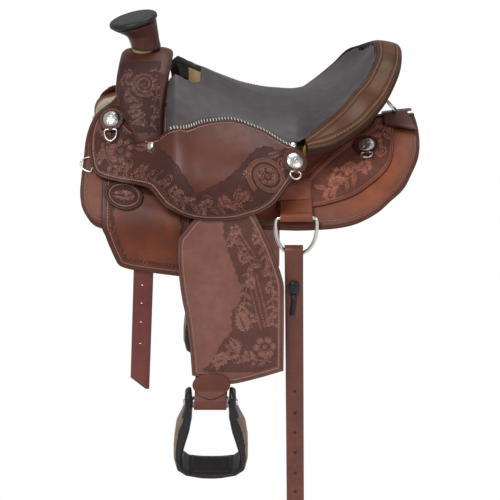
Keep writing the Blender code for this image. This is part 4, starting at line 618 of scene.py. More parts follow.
fenderMotifs = {
    "flowers": [((0.028, 0.254), 0.024, 6)],
    "leaves": [((-0.006, 0.224), (-0.026, 0.176), 0.016, 7),
               ((-0.040, 0.276), (-0.076, 0.292), 0.013),
               ((-0.018, 0.262), (-0.040, 0.234), 0.012)],
    "banners": [((-0.026, 0.030), (0.003, 0.076)), ((0.004, 0.110), (0.028, 0.214))],
    "vines": [
        ([(-0.034, 0.012), (-0.022, 0.052), (0.004, 0.092), (-0.006, 0.130), (-0.010, 0.172),
          (0.004, 0.214)], 0.019, 0.019),
        ([(0.006, 0.014), (0.022, 0.052), (0.036, 0.096), (0.042, 0.150), (0.044, 0.210)],
         0.017, 0.017, 2),
        ([(0.040, 0.284), (-0.010, 0.276), (-0.040, 0.262), (-0.072, 0.296)], 0.018, 0.021, 1)],
}
rearMotifs = {
    "flowers": [((0.168, 0.132), 0.020, 6)],
    "vines": [([(0.262, 0.020), (0.245, 0.060), (0.222, 0.100), (0.185, 0.140),
                (0.140, 0.160)], 0.020, 0.026, 1)],
}
keeperMotifs = {"leaves": [((-0.212, 0.205), (-0.262, 0.213), 0.014, 7)],
                "flowers": [((-0.222, 0.207), 0.011, 6)]}
forkMotifs = {
    "flowers": [((-0.214, 0.052), 0.015, 6)],
    "vines": [
        ([(-0.232, -0.030), (-0.226, 0.010), (-0.216, 0.040), (-0.204, 0.062), (-0.218, 0.088)],
         0.016, 0.018),
        ([(-0.176, -0.040), (-0.172, 0.000), (-0.176, 0.040), (-0.180, 0.080)], 0.018, 0.014, 1)],
}


def jockeyTool(x, d, far):
    scallop = 0.0035 * np.abs(np.sin(x * 240))
    low = within(x, d - scallop, plainField)
    region = np.where(low, 0.0, 1.0) * ramp(far, 0.011, 0.0118) * ramp(x + d, -0.152, -0.150)
    return carveAndHighlight(region, *drawn(x, d, jockeyMotifs))


def fenderTool(x, d, far):
    scallop = 0.003 * np.abs(np.sin(d * 210))
    region = np.where(within(x - scallop, d, fenderField), 1.0, 0.0) * ramp(far, 0.0125, 0.0133)
    return carveAndHighlight(region, *drawn(x, d, fenderMotifs))


def plateTool(x, d, far):  # a tooled band that follows the rigging plate's outline
    waves = 0.5 + 0.5 * np.cos((x * 1.3 + d) * 1200)
    curls = 0.5 + 0.5 * np.cos((x - 1.4 * d) * 900 + far * 900)
    return carveAndHighlight(band(far, 0.0160, 0.0240), waves * curls * 0.9)


def rearTool(x, d, far):
    return carveAndHighlight(ramp(far, 0.008, 0.0086) * ramp(x, 0.112, 0.113), *drawn(x, d, rearMotifs))


def keeperTool(x, d, far):
    return carveAndHighlight(ramp(far, 0.005, 0.0056), *drawn(x, d, keeperMotifs))


def forkTool(places):  # on the fork's swell, in x and the way round its profile
    x, y, z = places.T
    swellY, swellZ = 0.084, 0.129
    down = -np.sign(z - swellZ) * np.hypot(np.abs(y) - swellY, z - swellZ)
    region = ramp(np.abs(y), 0.030, 0.031) * band(x, -0.243, -0.168) * band(down, -0.052, 0.092)
    made = carveAndHighlight(region, scroll(x, -down, (-0.196, 0.0), 0.024, 0.8, -1, 2.4),
                 *drawn(x, down, forkMotifs))
    slitX, slitHalf, slitFrom, slitTo = -0.188, 0.0010, 0.034, 0.096
    slit = (np.abs(x - slitX) < slitHalf) & (down > slitFrom) & (down < slitTo)
    return np.where(slit, 1.0, made)


def cantleTool(places):
    _, y, z = places.T
    waves = 0.5 + 0.5 * np.cos(y * 330) * np.cos(z * 300 + np.sin(y * 110) * 2)
    return carveAndHighlight(band(z, 0.030, 0.120, 0.001), waves)


def paintTool(mesh, tool):
    places = np.zeros(len(mesh.vertices) * 3, np.float32)
    mesh.vertices.foreach_get("co", places)
    places = places.reshape(-1, 3).astype(float)
    look = np.zeros((len(places), 3))
    look[:, 2] = tool(places)
    setLook(mesh, look)


# Materials: three shared groups, one dictionary for each finish

def node(group, kind, values=None, **settings):
    made = group.nodes.new("ShaderNode" + kind)
    for key, value in settings.items():
        setattr(made, key, value)
    for key, value in (values or {}).items():
        if isinstance(value, bpy.types.NodeSocket):
            group.links.new(value, made.inputs[key])
        else:
            made.inputs[key].default_value = value
    return made


def newGroup(name, inputs, paint):  # paint returns the sockets of colour, roughness and height
    group = bpy.data.node_groups.new(name, "ShaderNodeTree")
    for title, value in inputs.items():
        kind = "NodeSocketColor" if isinstance(value, tuple) else "NodeSocketFloat"
        made = group.interface.new_socket(title, in_out="INPUT", socket_type=kind)
        made.default_value = value
    results = (("Color", "Color"), ("Float", "Roughness"), ("Float", "Height"))
    for kind, title in results:
        group.interface.new_socket(title, in_out="OUTPUT", socket_type="NodeSocket" + kind)
    take = group.nodes.new("NodeGroupInput").outputs
    result = group.nodes.new("NodeGroupOutput")
    place = node(group, "TexCoord").outputs["Object"]
    data = node(group, "Attribute", attribute_name="look").outputs["Vector"]
    look = node(group, "SeparateXYZ", {0: data}).outputs
    for (_, title), socket in zip(results, paint(group, take, place, look)):
        group.links.new(socket, result.inputs[title])
    return group


def mathsIn(group, *operations):  # a short function for each kind of maths node
    def using(operation):
        def add(*values, clamp=False):
            return node(group, "Math", dict(enumerate(values)), operation=operation,
                        use_clamp=clamp).outputs[0]
        return add
    return [using(operation) for operation in operations]


def mixed(group, factor, a, b):
    return node(group, "Mix", {0: factor, 6: a, 7: b}, data_type="RGBA").outputs[2]


def leatherPaint(group, take, place, look):
    plus, minus, times, share, higher, below = mathsIn(
        group, "ADD", "SUBTRACT", "MULTIPLY", "DIVIDE", "MAXIMUM", "LESS_THAN")
    scaled, size, power, fraction = mathsIn(
        group, "MULTIPLY_ADD", "ABSOLUTE", "POWER", "FRACT")
    edge, run, toolingAndHighlight = look["X"], look["Y"], look["Z"]
    distance = times(minus(1.0, edge), edgeReach)

    def line(at, half):
        return minus(1.0, share(size(minus(distance, at)), half), clamp=True)

    # Two tones in patches, with fine dark specks
    cloud = node(group, "TexNoise", {"Vector": place, "Scale": take["Blotch"], "Detail": 5.0,
                                     "Roughness": 0.6}).outputs[0]
    colour = mixed(group, scaled(cloud, 2.6, -0.8, clamp=True), take["Main"], take["Second"])
    fine = node(group, "TexNoise", {"Vector": place, "Scale": 70.0, "Detail": 6.0}).outputs[0]
    speck = scaled(fine, 1.4, -0.45, clamp=True)
    colour = mixed(group, times(speck, 0.35), colour, take["Dark"])

    # Stitches in a groove and a crease, each at its distance from the edge
    near = below(take["Stitch At"], noLine)
    dash = fraction(share(run, stitchPitch))
    dash = below(size(minus(dash, 0.5)), 0.36)
    groove = times(line(take["Stitch At"], 0.0016), near)
    stitch = times(times(line(take["Stitch At"], 0.0010), dash), near)
    stitch = times(stitch, 2.2, clamp=True)
    crease = times(line(take["Crease At"], 0.0013), below(take["Crease At"], noLine))

    # Burnished edge, dark dents, painted highlight on the tooling's crests, thread
    tool = higher(toolingAndHighlight, 0.0)
    dents = higher(tool, higher(times(crease, 0.8), times(groove, 0.7)))
    # painted highlight: negative tooling values lighten the crests towards the thread colour
    crestHighlight = times(toolingAndHighlight, -2.2, clamp=True)
    burnt = scaled(edge, 30.0, -28.6, clamp=True)
    for factor, tone in ((times(power(edge, 2.2), take["Burnish"]), "Dark"),
                         (times(dents, 0.62), "Dark"), (times(crestHighlight, 0.42), "Thread"),
                         (times(burnt, 0.75), "Dark"), (stitch, "Thread")):
        colour = mixed(group, factor, colour, take[tone])

    cells, mat = (node(group, "TexVoronoi", {"Vector": place, "Scale": scale}).outputs["Distance"]
                  for scale in (take["Grain"], 900.0))
    low = plus(dents, minus(toolingAndHighlight, tool))
    height = plus(times(low, -1.0), times(cells, 0.07))
    height = plus(height, times(times(mat, tool), 0.5))
    height = plus(plus(height, times(stitch, 0.9)), times(fine, 0.10))
    rough = plus(take["Rough"], times(dents, 0.22))
    return colour, plus(rough, scaled(fine, 0.22, -0.11), clamp=True), height


def silverPaint(group, take, place, look):
    plus, times, scaled = mathsIn(group, "ADD", "MULTIPLY", "MULTIPLY_ADD")
    fine = node(group, "TexNoise", {"Vector": place, "Scale": 260.0, "Detail": 6.0}).outputs[0]
    worn = scaled(fine, 1.6, -0.6, clamp=True)
    colour = mixed(group, times(worn, 0.25), take["Main"], take["Dark"])
    colour = mixed(group, times(look["Z"], 0.9), colour, take["Dark"])
    return (colour, plus(take["Rough"], times(worn, 0.25)),
            plus(times(look["Z"], -1.0), times(fine, 0.05)))


def woolPaint(group, take, place, look):
    plus, minus, times, scaled = mathsIn(group, "ADD", "SUBTRACT", "MULTIPLY", "MULTIPLY_ADD")
    curls = node(group, "TexVoronoi", {"Vector": place, "Scale": 160.0}).outputs["Distance"]
    fine = node(group, "TexNoise", {"Vector": place, "Scale": 420.0, "Detail": 5.0,
                                    "Distortion": 1.5}).outputs[0]
    shade = times(plus(curls, fine), 0.6, clamp=True)
    return (mixed(group, shade, take["Main"], take["Dark"]), scaled(fine, 0.2, 0.75),
            minus(1.0, shade))


stitchPitch = 0.0046
noLine = 0.049
brown = (0.2, 0.1, 0.07, 1)
groups = {
    "leather": newGroup("leatherLook", {
        "Main": brown, "Second": brown, "Dark": (0.02, 0.01, 0.01, 1),
        "Thread": (0.6, 0.5, 0.4, 1), "Blotch": 9.0, "Grain": 520.0, "Rough": 0.42,
        "Stitch At": 0.05, "Crease At": 0.05, "Burnish": 0.0}, leatherPaint),
    "silver": newGroup("silverLook", {"Main": (0.8, 0.78, 0.74, 1), "Dark": (0.10, 0.09, 0.08, 1),
                                      "Rough": 0.22}, silverPaint),
    "wool": newGroup("woolLook", {"Main": (0.72, 0.66, 0.54, 1), "Dark": (0.42, 0.36, 0.27, 1)},
                     woolPaint),
}
finishes = [  # tones 0 to 255: main, second, dark and thread
    {"name": "tooled", "bump": 0.0016, "coat": 0.08, "Rough": 0.40, "Stitch At": 0.0075,
     "Crease At": 0.0042, "Burnish": 0.25,
     "tones": ((102, 54, 42), (80, 40, 34), (30, 14, 13), (186, 140, 118))},
    {"name": "fender", "bump": 0.0016, "coat": 0.08, "Rough": 0.40, "Stitch At": 0.0095,
     "Crease At": 0.0050, "Burnish": 0.2,
     "tones": ((142, 94, 82), (122, 74, 66), (40, 20, 20), (196, 156, 138))},
    {"name": "rear", "bump": 0.0016, "coat": 0.04, "Crease At": 0.0042, "Burnish": 0.2,
     "tones": ((170, 102, 82), (136, 78, 62), (40, 20, 18), (206, 160, 136))},
    {"name": "fork", "bump": 0.0015, "coat": 0.08, "Rough": 0.40,
     "tones": ((88, 48, 38), (70, 36, 32), (26, 13, 13), (178, 130, 108))},
    {"name": "skirting", "bump": 0.0012, "coat": 0.08, "Blotch": 7.0, "Stitch At": 0.0125,
     "Crease At": 0.0050, "Burnish": 0.75,
     "tones": ((120, 64, 44), (166, 90, 52), (50, 26, 26), (150, 116, 104))},
    {"name": "rigging", "bump": 0.0012, "coat": 0.08, "Blotch": 8.0, "Stitch At": 0.0110,
     "Burnish": 0.7, "tones": ((92, 44, 30), (146, 72, 38), (44, 26, 28), (170, 140, 128))},
    {"name": "seat", "bump": 0.0007, "coat": 0.06, "Grain": 700.0,
     "tones": ((78, 72, 75), (64, 58, 61), (34, 30, 34))},
    {"name": "roll", "bump": 0.0010, "coat": 0.03, "gloss": 0.16, "Blotch": 11.0, "Rough": 0.38,
     "Stitch At": 0.0085, "Crease At": 0.0050, "Burnish": 0.25,
     "tones": ((72, 43, 34), (112, 76, 46), (32, 18, 15), (150, 108, 78))},
    {"name": "strap", "bump": 0.0008, "coat": 0.06, "Rough": 0.44,
     "tones": ((122, 72, 60), (102, 58, 50), (44, 24, 24))},
    {"name": "latigo", "bump": 0.0008, "coat": 0.06,
     "tones": ((124, 64, 60), (104, 50, 48), (52, 24, 22))},
    {"name": "black", "bump": 0.0007, "coat": 0.08, "Rough": 0.38,
     "tones": ((46, 43, 46), (34, 31, 34), (16, 14, 16), (150, 140, 134))},
    {"name": "flare", "bump": 0.0008, "coat": 0.08,
     "tones": ((150, 130, 104), (118, 98, 76), (34, 24, 20))},
    {"name": "hobble", "bump": 0.0009, "coat": 0.06,
     "tones": ((124, 70, 52), (102, 56, 44), (40, 24, 24))},
    {"name": "lace", "bump": 0.0004, "Rough": 0.55,
     "tones": ((226, 220, 208), (200, 190, 176), (150, 136, 120))},
    {"name": "rawhide", "bump": 0.0006, "coat": 0.4, "Rough": 0.45,
     "tones": ((210, 186, 138), (186, 154, 98), (130, 98, 60))},
    {"name": "silver", "group": "silver", "bump": 0.0005, "metal": 1.0, "gloss": 0.5},
    {"name": "wool", "group": "wool", "bump": 0.0030},
]


def colour4(rgb):  # picture colours 0-255 to scene colours
    return tuple((c / 255 / 12.92 if c < 10 else ((c / 255 + 0.055) / 1.055)**2.4)
                 for c in rgb) + (1,)


def makeFinish(piece):
    made = bpy.data.materials.new(piece["name"])
    made.use_nodes = True
    tree = made.node_tree
    source = tree.nodes.new("ShaderNodeGroup")
    source.node_tree = groups[piece.get("group", "leather")]
    for key, tone in zip(("Main", "Second", "Dark", "Thread"), piece.get("tones", ())):
        source.inputs[key].default_value = colour4(tone)
    for key in ("Blotch", "Grain", "Rough", "Stitch At", "Crease At", "Burnish"):
        if key in piece:
            source.inputs[key].default_value = piece[key]
    bump = node(tree, "Bump", {"Strength": 1.0, "Distance": piece["bump"],
                               "Height": source.outputs["Height"]})
    shader = tree.nodes["Principled BSDF"].inputs
    tree.links.new(source.outputs["Color"], shader["Base Color"])
    tree.links.new(source.outputs["Roughness"], shader["Roughness"])
    tree.links.new(bump.outputs["Normal"], shader["Normal"])
    shader["Metallic"].default_value = piece.get("metal", 0.0)
    shader["Coat Weight"].default_value = piece.get("coat", 0.0)
    shader["Coat Roughness"].default_value = 0.32
    shader["Specular IOR Level"].default_value = piece.get("gloss", 0.28)
    return made


for finish in finishes:
    looks[finish["name"]] = makeFinish(finish)
print("stage: materials,", len(looks))

# Bent leathers, each with its blank, its form and its layers

halfSeam = 0.0006
seamEdge = [(x, float(hermite(seam, x)[0]) + halfSeam) for x in reversed(seatX)]
jockeyLoop = np.concatenate([smoothLoop(jockeyFront, closed=False), seamEdge,
                             smoothLoop(jockeyUnderFork, closed=False)])
skirtLoop = smoothLoop(skirtBlank)
keeper = {"at": (-0.2335, 0.2085), "halfLong": 0.0355, "halfHigh": 0.0285, "tilt": -0.20}


def tiltedOval(piece):
    c, s = math.cos(piece["tilt"]), math.sin(piece["tilt"])
    turns = np.linspace(0, 2 * math.pi, 49)[:-1]
    u, v = piece["halfLong"] * np.cos(turns), piece["halfHigh"] * np.sin(turns)
    return np.stack([piece["at"][0] + u * c - v * s, piece["at"][1] + u * s + v * c], 1)


def onBack(side):
    return onForm(back, side)


def onOutside(side):
    return onForm(outside, side)


bentLeathers = [
    {"name": "fleece_lining", "form": onBack, "loop": insetLoop(skirtLoop, 0.003), "low": 0.0,
     "high": fleeceThick, "step": 0.010, "look": "wool", "slot": "fleece"},
    {"name": "skirt", "form": onBack, "loop": skirtLoop, "low": skirtLow, "high": skirtHigh,
     "step": 0.006, "look": "skirting", "slot": "skirting"},
    {"name": "rear_jockey", "form": onBack, "loop": smoothLoop(rearJockeyBlank), "low": rigLow,
     "high": housingHigh, "step": 0.0017, "look": "rear", "slot": "tooled leather",
     "tool": rearTool},
    {"name": "rigging_plate", "form": onBack, "loop": smoothLoop(rigBlank), "low": rigLow,
     "high": rigHigh, "step": 0.0025, "look": "rigging", "slot": "skirting",
     "tool": plateTool},
    {"name": "seat_jockey", "form": onOutside, "loop": jockeyLoop, "low": -0.0045, "high": 0.0,
     "step": 0.0015, "look": "tooled", "slot": "tooled leather", "tool": jockeyTool},
    {"name": "latigo_keeper", "form": onBack, "loop": tiltedOval(keeper), "low": keeperLow,
     "high": keeperHigh, "step": 0.0022, "look": "tooled", "slot": "tooled leather",
     "tool": keeperTool},
    {"name": "fender", "form": onHang, "loop": smoothLoop(fenderBlank), "low": fenderIn,
     "high": fenderOut, "step": 0.0016, "look": "fender", "slot": "tooled leather",
     "tool": fenderTool},
]
for piece in bentLeathers:
    for side, tag in sides:
        name = tag + "_" + piece["name"]
        mesh = sheetMesh(name + "_skin", piece["loop"], piece["form"](side), piece["low"],
                         piece["high"], piece["step"], piece.get("tool"))
        addPiece({**piece, "stands": [name]}, name + "_skin", mesh, bodyOf[name])
print("stage: bent leathers,", len(bentLeathers), "pairs")

# Pieces whose skins grow from their solids

grownPieces = [
    {"node": "fork_cover", "way": softened, "voxel": 0.0019, "rounds": 24, "look": "fork",
     "slot": "tooled leather", "tool": forkTool},
    {"node": "seat", "way": softened, "voxel": 0.0030, "rounds": 14, "look": "seat",
     "slot": "seat leather"},
    {"node": "cantle_back", "way": softened, "voxel": 0.0020, "rounds": 26, "look": "tooled",
     "slot": "tooled leather", "tool": cantleTool},
    {"node": "horn_wrap", "way": softened, "voxel": 0.0018, "rounds": 10, "look": "fork",
     "slot": "tooled leather"},
    {"node": "horn_cap", "way": softened, "voxel": 0.0016, "rounds": 5, "look": "black",
     "slot": "black leather"},
    {"node": "rear_connector", "way": softened, "voxel": 0.0014, "rounds": 4, "look": "tooled",
     "slot": "tooled leather"},
    {"node": "latigo", "way": rounded, "look": "latigo", "slot": "latigo leather"},
    {"node": "off_billet", "way": rounded, "look": "latigo", "slot": "latigo leather"},
    {"node": "crupper_dee", "way": subdivided, "look": "silver", "slot": "silver"},
]
for _, tag in sides:
    grownPieces += [
        {"node": tag + "_rear_rig_tab", "way": softened, "voxel": 0.0013, "rounds": 4,
         "look": "skirting", "slot": "skirting"},
        {"node": tag + "_back_billet", "way": rounded, "look": "strap", "slot": "skirting"},
        {"node": tag + "_stirrup_leather", "way": softened, "voxel": 0.0014, "rounds": 3,
         "look": "strap", "slot": "skirting"},
        {"node": tag + "_hobble_strap", "way": softened, "voxel": 0.0012, "rounds": 3,
         "look": "hobble", "slot": "skirting"},
        {"node": tag + "_stirrup", "way": softened, "voxel": 0.0016, "rounds": 6, "look": "black",
         "slot": "black leather"},
        {"node": tag + "_stirrup_bolt", "way": rounded, "look": "silver", "slot": "silver"},
    ]
    grownPieces += [
        {"node": tag + "_" + dee + "_dee", "way": subdivided, "look": "silver", "slot": "silver"}
        for dee in ("rear_rig", "front_rig", "front_string", "mid_string", "rear_string",
                    "breast_collar")]
grown = {}
for piece in grownPieces:
    source = piece["node"]
    mesh = piece["way"](piece, frame["nodes"][source].data)
    if piece.get("tool"):
        paintTool(mesh, piece["tool"])
    grown[source] = addPiece({**piece, "stands": [source]}, source + "_skin", mesh, bodyOf[source])
print("stage: grown skins,", len(grown))

for side, tag in sides:  # the stirrup's outer faces are brown, its inside and edges black
    made = grown[tag + "_stirrup"]
    made.data.materials.append(looks["flare"])
    low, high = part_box(tag + "_stirrup")
    middle = (low.x + high.x) / 2
    flareLow, flareHigh, leastOutward = low.z + 0.030, low.z + 0.130, 0.55
    for face in made.data.polygons:
        outward = face.normal.x * (1 if face.center.x > middle else -1)
        if outward > leastOutward and flareLow < face.center.z < flareHigh:
            face.material_index = 1

rim = [(0.2370, 0.000, 0.1830), (0.2352, 0.050, 0.1715), (0.2135, 0.105, 0.1467),
       (0.1900, 0.131, 0.1290), (0.1640, 0.141, 0.0985), (0.1330, 0.140, 0.0715),
       (0.1010, 0.146, 0.0440)]
rollEdge = [(0.2865, 0.000, 0.1720), (0.2785, 0.076, 0.1573), (0.2530, 0.137, 0.1255),
            (0.2303, 0.158, 0.1012), (0.2040, 0.169, 0.0769), (0.1546, 0.168, 0.0418),
            (0.1075, 0.170, 0.0302)]
rollSection = [(0.0, 0.0, 0.0), (0.30, 0.30, 0.0030), (0.70, 0.70, 0.0030), (0.95, 1.0, 0.001),
               (1.0, 1.0, -0.0055), (0.94, 1.0, -0.0105), (0.60, 0.62, -0.0125),
               (0.25, 0.28, -0.0130), (0.0, 0.0, -0.0105)]


def rollMesh():  # from the seat's rim to the roll's outer edge, with a stitched groove
    foot, grooveAt, grooveHalf = 0.0006, 0.0125, 0.0009
    alongSteps, steps = 22, 12
    inner, outer = (refined(np.concatenate([np.array(edge)[:0:-1] * [1, -1, 1], edge]), alongSteps)
                    for edge in (rim, rollEdge))
    around = refined(np.array(rollSection + rollSection[:3]), steps)
    around = around[steps:steps * (len(rollSection) + 1)]
    rings, look, run = [], [], 0.0
    for i, (a, b) in enumerate(zip(inner, outer)):
        reach = math.hypot(b[0] - a[0], b[1] - a[1])
        out = np.array([(b[0] - a[0]) / reach, (b[1] - a[1]) / reach, 0])
        run += math.dist(inner[i - 1], a) if i else 0
        rings.append([])
        for share, drop, rise in around:
            rings[-1].append(a + out * (foot + share * (reach - foot))
                             + np.array([0, 0, drop * (b[2] - a[2]) + rise]))
            far = max(0.0, min(share, 1 - share)) * reach if rise > -0.004 else 0.0
            groove = math.exp(-((far - grooveAt) / grooveHalf)**2) if rise > 0 else 0.0
            look.append((1 - far / edgeReach, run, 0.9 * groove))
    return tubes("cantle_roll_skin", [rings], look)


addPiece({"look": "roll", "slot": "roll leather", "stands": ["cantle_roll"]}, "cantle_roll_skin",
         rollMesh())

shownSolids = {"tree": "rawhide", "ground_seat": "rawhide", "horn_core": "rawhide",
               "near_upper_leather": "strap", "off_upper_leather": "strap"}
for name, look in shownSolids.items():
    dress = frame["nodes"][name].data.materials
    dress.clear()
    dress.append(looks[look])

# Conchos: a scalloped rosette, an engraved silver dome and the keeper of the string dee

def latheMesh(name, profile, steps, sits, scallop=0.0, petals=0, tool=None):
    shapes, look = [], []
    for sit in sits:
        rings = []
        for radius, height in profile:
            rings.append([])
            for k in range(steps):
                a = 2 * math.pi * k / steps
                r = radius * (1 + scallop * abs(math.cos(a * petals / 2))**0.7 * (radius > 0.018))
                rings[-1].append(sit @ Vector((r * math.cos(a), r * math.sin(a), height)))
                look.append((0.0, 0.0, tool(radius, a) if tool else 0.0))
        shapes.append(rings)
    return tubes(name, shapes, look)


def petalCut(radius, angle):  # engraved petals and a rope rim
    ropeFrom, plainFrom, centreTo, centreRing, petals, strands = 0.90, 0.78, 0.22, 0.16, 4, 30
    share = radius / domeRadius
    if share > ropeFrom:
        return 0.8 if math.cos(angle * strands) < -0.2 else 0.0
    if share > plainFrom:
        return 0.0
    if share < centreTo:
        return 0.6 if share > centreRing else 0.0
    cut = abs(math.cos(angle * petals)) < 0.16 + 0.3 * max(0, share - 0.55)
    return 0.8 if cut else 0.0


def domeProfile(radius, rise, foot):  # from the top down to the rim and back under the middle
    steps, tip, roundness, crown, rimShare = 19, 0.02, 2.6, 0.85, 0.15
    made = [(radius * tip, foot + rise)]
    for k in range(1, steps + 1):
        t = k / steps
        made.append((radius * t, foot + rise * (1 - t**roundness) * crown + rise * rimShare))
    return made + [(radius, foot), (radius * tip, foot)]


domeRadius, domeRise, rosetteHigh = 0.016, 0.0048, 0.0026
rosetteProfile = [(0.0004, 0.0), (0.0225, 0.0), (0.0230, 0.0008), (0.0230, 0.0018),
                  (0.0222, 0.0026), (0.0190, 0.0026), (0.0180, 0.0022), (0.0170, 0.0026),
                  (0.0004, 0.0026)]
conchoFrames = [
    {"name": "front", "here": (-0.259645, 0.082419, 0.059126), "ahead": (0.99487, 0.07297, 0.07011),
     "down": (0, 0.6928, -0.72113), "out": (-0.10119, 0.71743, 0.68924), "reach": 0.0230},
    {"name": "mid", "here": (0.081519, 0.178995, 0.011353), "ahead": (0.95495, -0.21542, -0.20411),
     "down": (0, 0.6878, -0.7259), "out": (0.29676, 0.6932, 0.65681), "reach": 0.0222},
    {"name": "rear", "here": (0.219454, 0.080456, 0.006511), "ahead": (0.9962, 0.04033, 0.07724),
     "down": (0, 0.88643, -0.46287), "out": (-0.08713, 0.46111, 0.88306), "reach": 0.0222},
]


def keeperStrap(name, frameAt, reach):  # a narrow strap from the screw down round the dee's bar
    here, ahead, down, out = frameAt
    radius, thick, halfWide, centreHigh = 0.0030, 0.0011, 0.0042, 0.0046
    start, bendFrom, high, low = 0.004, reach - 0.006, 0.0030, 0.0012
    line = [(start, high), (bendFrom, high)]
    for k in range(13):
        a = math.radians(110 - 20 * k)
        line.append((reach + radius * math.cos(a), centreHigh + radius * math.sin(a)))
    line.append((bendFrom, low))
    rings = []
    for k, (v, w) in enumerate(line):
        a, b = line[max(k - 1, 0)], line[min(k + 1, len(line) - 1)]
        run = Vector((b[0] - a[0], b[1] - a[1])).normalized()
        rings.append([here + ahead * u + down * (v + run.y * lift) + out * (w - run.x * lift)
                      for u, lift in ((-halfWide, 0), (halfWide, 0), (halfWide, thick),
                                      (-halfWide, thick))])
    return tubes(name, [rings])


def turnedAxes(spot, side):
    def flip(v):
        return Vector((v[0], side * v[1], v[2]))
    return [flip(spot[key]) for key in ("here", "ahead", "down", "out")]


def seatMatrix(here, ahead, down, out):
    left = out.cross(ahead)
    return Matrix.Translation(here) @ Matrix((ahead, left, out)).transposed().to_4x4()


for spot in conchoFrames:
    for side, tag in sides:
        axes = turnedAxes(spot, side)
        sit = seatMatrix(*axes)
        base = tag + "_" + spot["name"] + "_concho"
        addPiece({"look": "fork", "slot": "tooled leather", "stands": [base]}, base + "_rosette",
                 latheMesh(base + "_rosette", rosetteProfile, 96, [sit], 0.06, 16))
        dome = domeProfile(domeRadius, domeRise, rosetteHigh)
        addPiece({"look": "silver", "slot": "silver"}, base + "_dome",
                 latheMesh(base + "_dome", dome, 96, [sit], tool=petalCut))
        addPiece({"look": "strap", "slot": "skirting"}, base + "_keeper",
                 keeperStrap(base + "_keeper", axes, spot["reach"]))


# Small conchos, seat lace, billet knot, and black discs painted as the shade in the billet holes

def formFrame(form, x, drop, lift, side):
    reach = 0.004
    xs = x + reach * np.array([0, 1, -1, 0, 0])
    drops = drop + reach * np.array([0, 0, 0, 1, -1])
    p = [Vector(q) for q in onForm(form, side)(xs, drops, np.full(5, lift))]
    ahead = (p[1] - p[2]).normalized()
    down = (p[3] - p[4]).normalized()
    out = ahead.cross(down)
    out = (-out if out.z < 0 else out).normalized()
    return p[0], ahead, (down - ahead * down.dot(ahead)).normalized(), out


studs = [{"name": "jockey_stud", "x": -0.1850, "drop": 0.1900, "radius": 0.0078},
         {"name": "seat_stud", "x": 0.0800, "drop": 0.1610, "radius": 0.0055}]
for side, tag in sides:
    for stud in studs:
        name = tag + "_" + stud["name"]
        sit = seatMatrix(*formFrame(outside, stud["x"], stud["drop"], 0.0004, side))
        dome = domeProfile(stud["radius"], stud["radius"] * 0.34, 0.0)
        addPiece({"look": "silver", "slot": "silver"}, name, latheMesh(name, dome, 40, [sit]))

stitchRings = ((0.0, 0.35, 0.1), (0.14, 0.85, 0.75), (0.5, 1.0, 1.0), (0.86, 0.85, 0.75),
               (1.0, 0.35, 0.1))
stitchSection = ((-1, 0), (-0.6, 0.85), (0, 1), (0.6, 0.85), (1, 0), (0, -0.4))


def stitchShape(start, end, out, width, thick):  # one small rounded bar
    run = end - start
    across = run.cross(out).normalized()
    return [[start + run * t + across * (u * width * w / 2) + out * (v * thick * h)
             for u, v in stitchSection] for t, w, h in stitchRings]


lace = {"pitch": 0.0062, "halfLong": 0.0034, "slant": 0.0016, "width": 0.0022, "thick": 0.0012,
        "from": -0.150, "lift": 0.0006, "look": "lace", "slot": "rawhide"}
line = smoothLoop(seam, 0.002, closed=False)
length = lengthAlong(line)
laceX = [float(np.interp(place, length, line[:, 0]))
         for place in np.arange(0.004, length[-1] - 0.008, lace["pitch"])]
for side, tag in sides:
    stitches = []
    for x in laceX:
        if x >= lace["from"]:
            here, ahead, down, out = formFrame(outside, x, float(hermite(seam, x)[0]),
                                               lace["lift"], side)
            half = down * lace["halfLong"] + ahead * lace["slant"]
            stitches.append(stitchShape(here - half, here + half, out, lace["width"],
                                        lace["thick"]))
    addPiece(lace, tag + "_seat_lace", tubes(tag + "_seat_lace", stitches))

billetThick, dropX, dropZ, slant = 0.0035, 0.0813, -0.145, 0.0165
deeWire, holeOut = 0.004, 0.0012
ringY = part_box("off_rear_rig_dee")[0].y + deeWire
knot = {"z": -0.231, "halfWide": 0.011, "halfHigh": 0.0145, "bevel": 0.0006,
        "shape": ((1, .3), (.6, 1), (-.6, 1), (-1, .3), (-.8, -.8), (.8, -.8)),
        "layers": ((1, 0.0), (1, 0.0035), (0.6, 0.006)),
        "tails": ((-0.0125, 0.0), (-0.034, -0.001), (-0.056, -0.003)),
        "tail": ((-0.005, 0.0002), (0.005, 0.0002), (0.005, 0.0025), (-0.005, 0.0025)),
        "look": "black", "slot": "black leather"}


def billetX(z):  # the billet leans, so its middle moves with height
    return dropX - slant * (z - dropZ)


def bevelled(bm):
    bmesh.ops.bevel(bm, geom=bm.edges[:], offset=knot["bevel"], segments=2, affect="EDGES")


for side, tag in sides:
    x, base = billetX(knot["z"]), ringY + billetThick + gap
    knotRings = [[(x + knot["halfWide"] * u * scale, side * (base + out),
                   knot["z"] + knot["halfHigh"] * v * scale) for u, v in knot["shape"]]
                 for scale, out in knot["layers"]]
    tailRings = [[(x + shift + u, side * (base + v), knot["z"] + dz) for u, v in knot["tail"]]
                 for dz, shift in knot["tails"]]
    name = tag + "_billet_lace"
    mesh = viaBmesh(name, tubes(name, [knotRings, tailRings]), bevelled)
    addPiece(knot, name, mesh, bodyOf[tag + "_back_billet"])

# painted shade: a black disc on the billet at each hole stands for the shade inside the hole
holeProfile = [(0.0014, 0.0), (0.0030, 0.0), (0.0030, 0.0009), (0.0014, 0.0009)]
holeSits = [Matrix.Translation((billetX(z), -(ringY + billetThick / 2 + holeOut), z))
            @ Matrix.Rotation(math.pi / 2, 4, "X")
            for z in (-0.4515, -0.5003, -0.5440, -0.5893, -0.6364, -0.6793)]
addPiece({"look": "black", "slot": "black leather"}, "near_billet_hole_shade",
         latheMesh("near_billet_hole_shade", holeProfile, 20, holeSits), bodyOf["near_back_billet"])
print("stage: silver, lace and small trim")

# Floor, light and camera

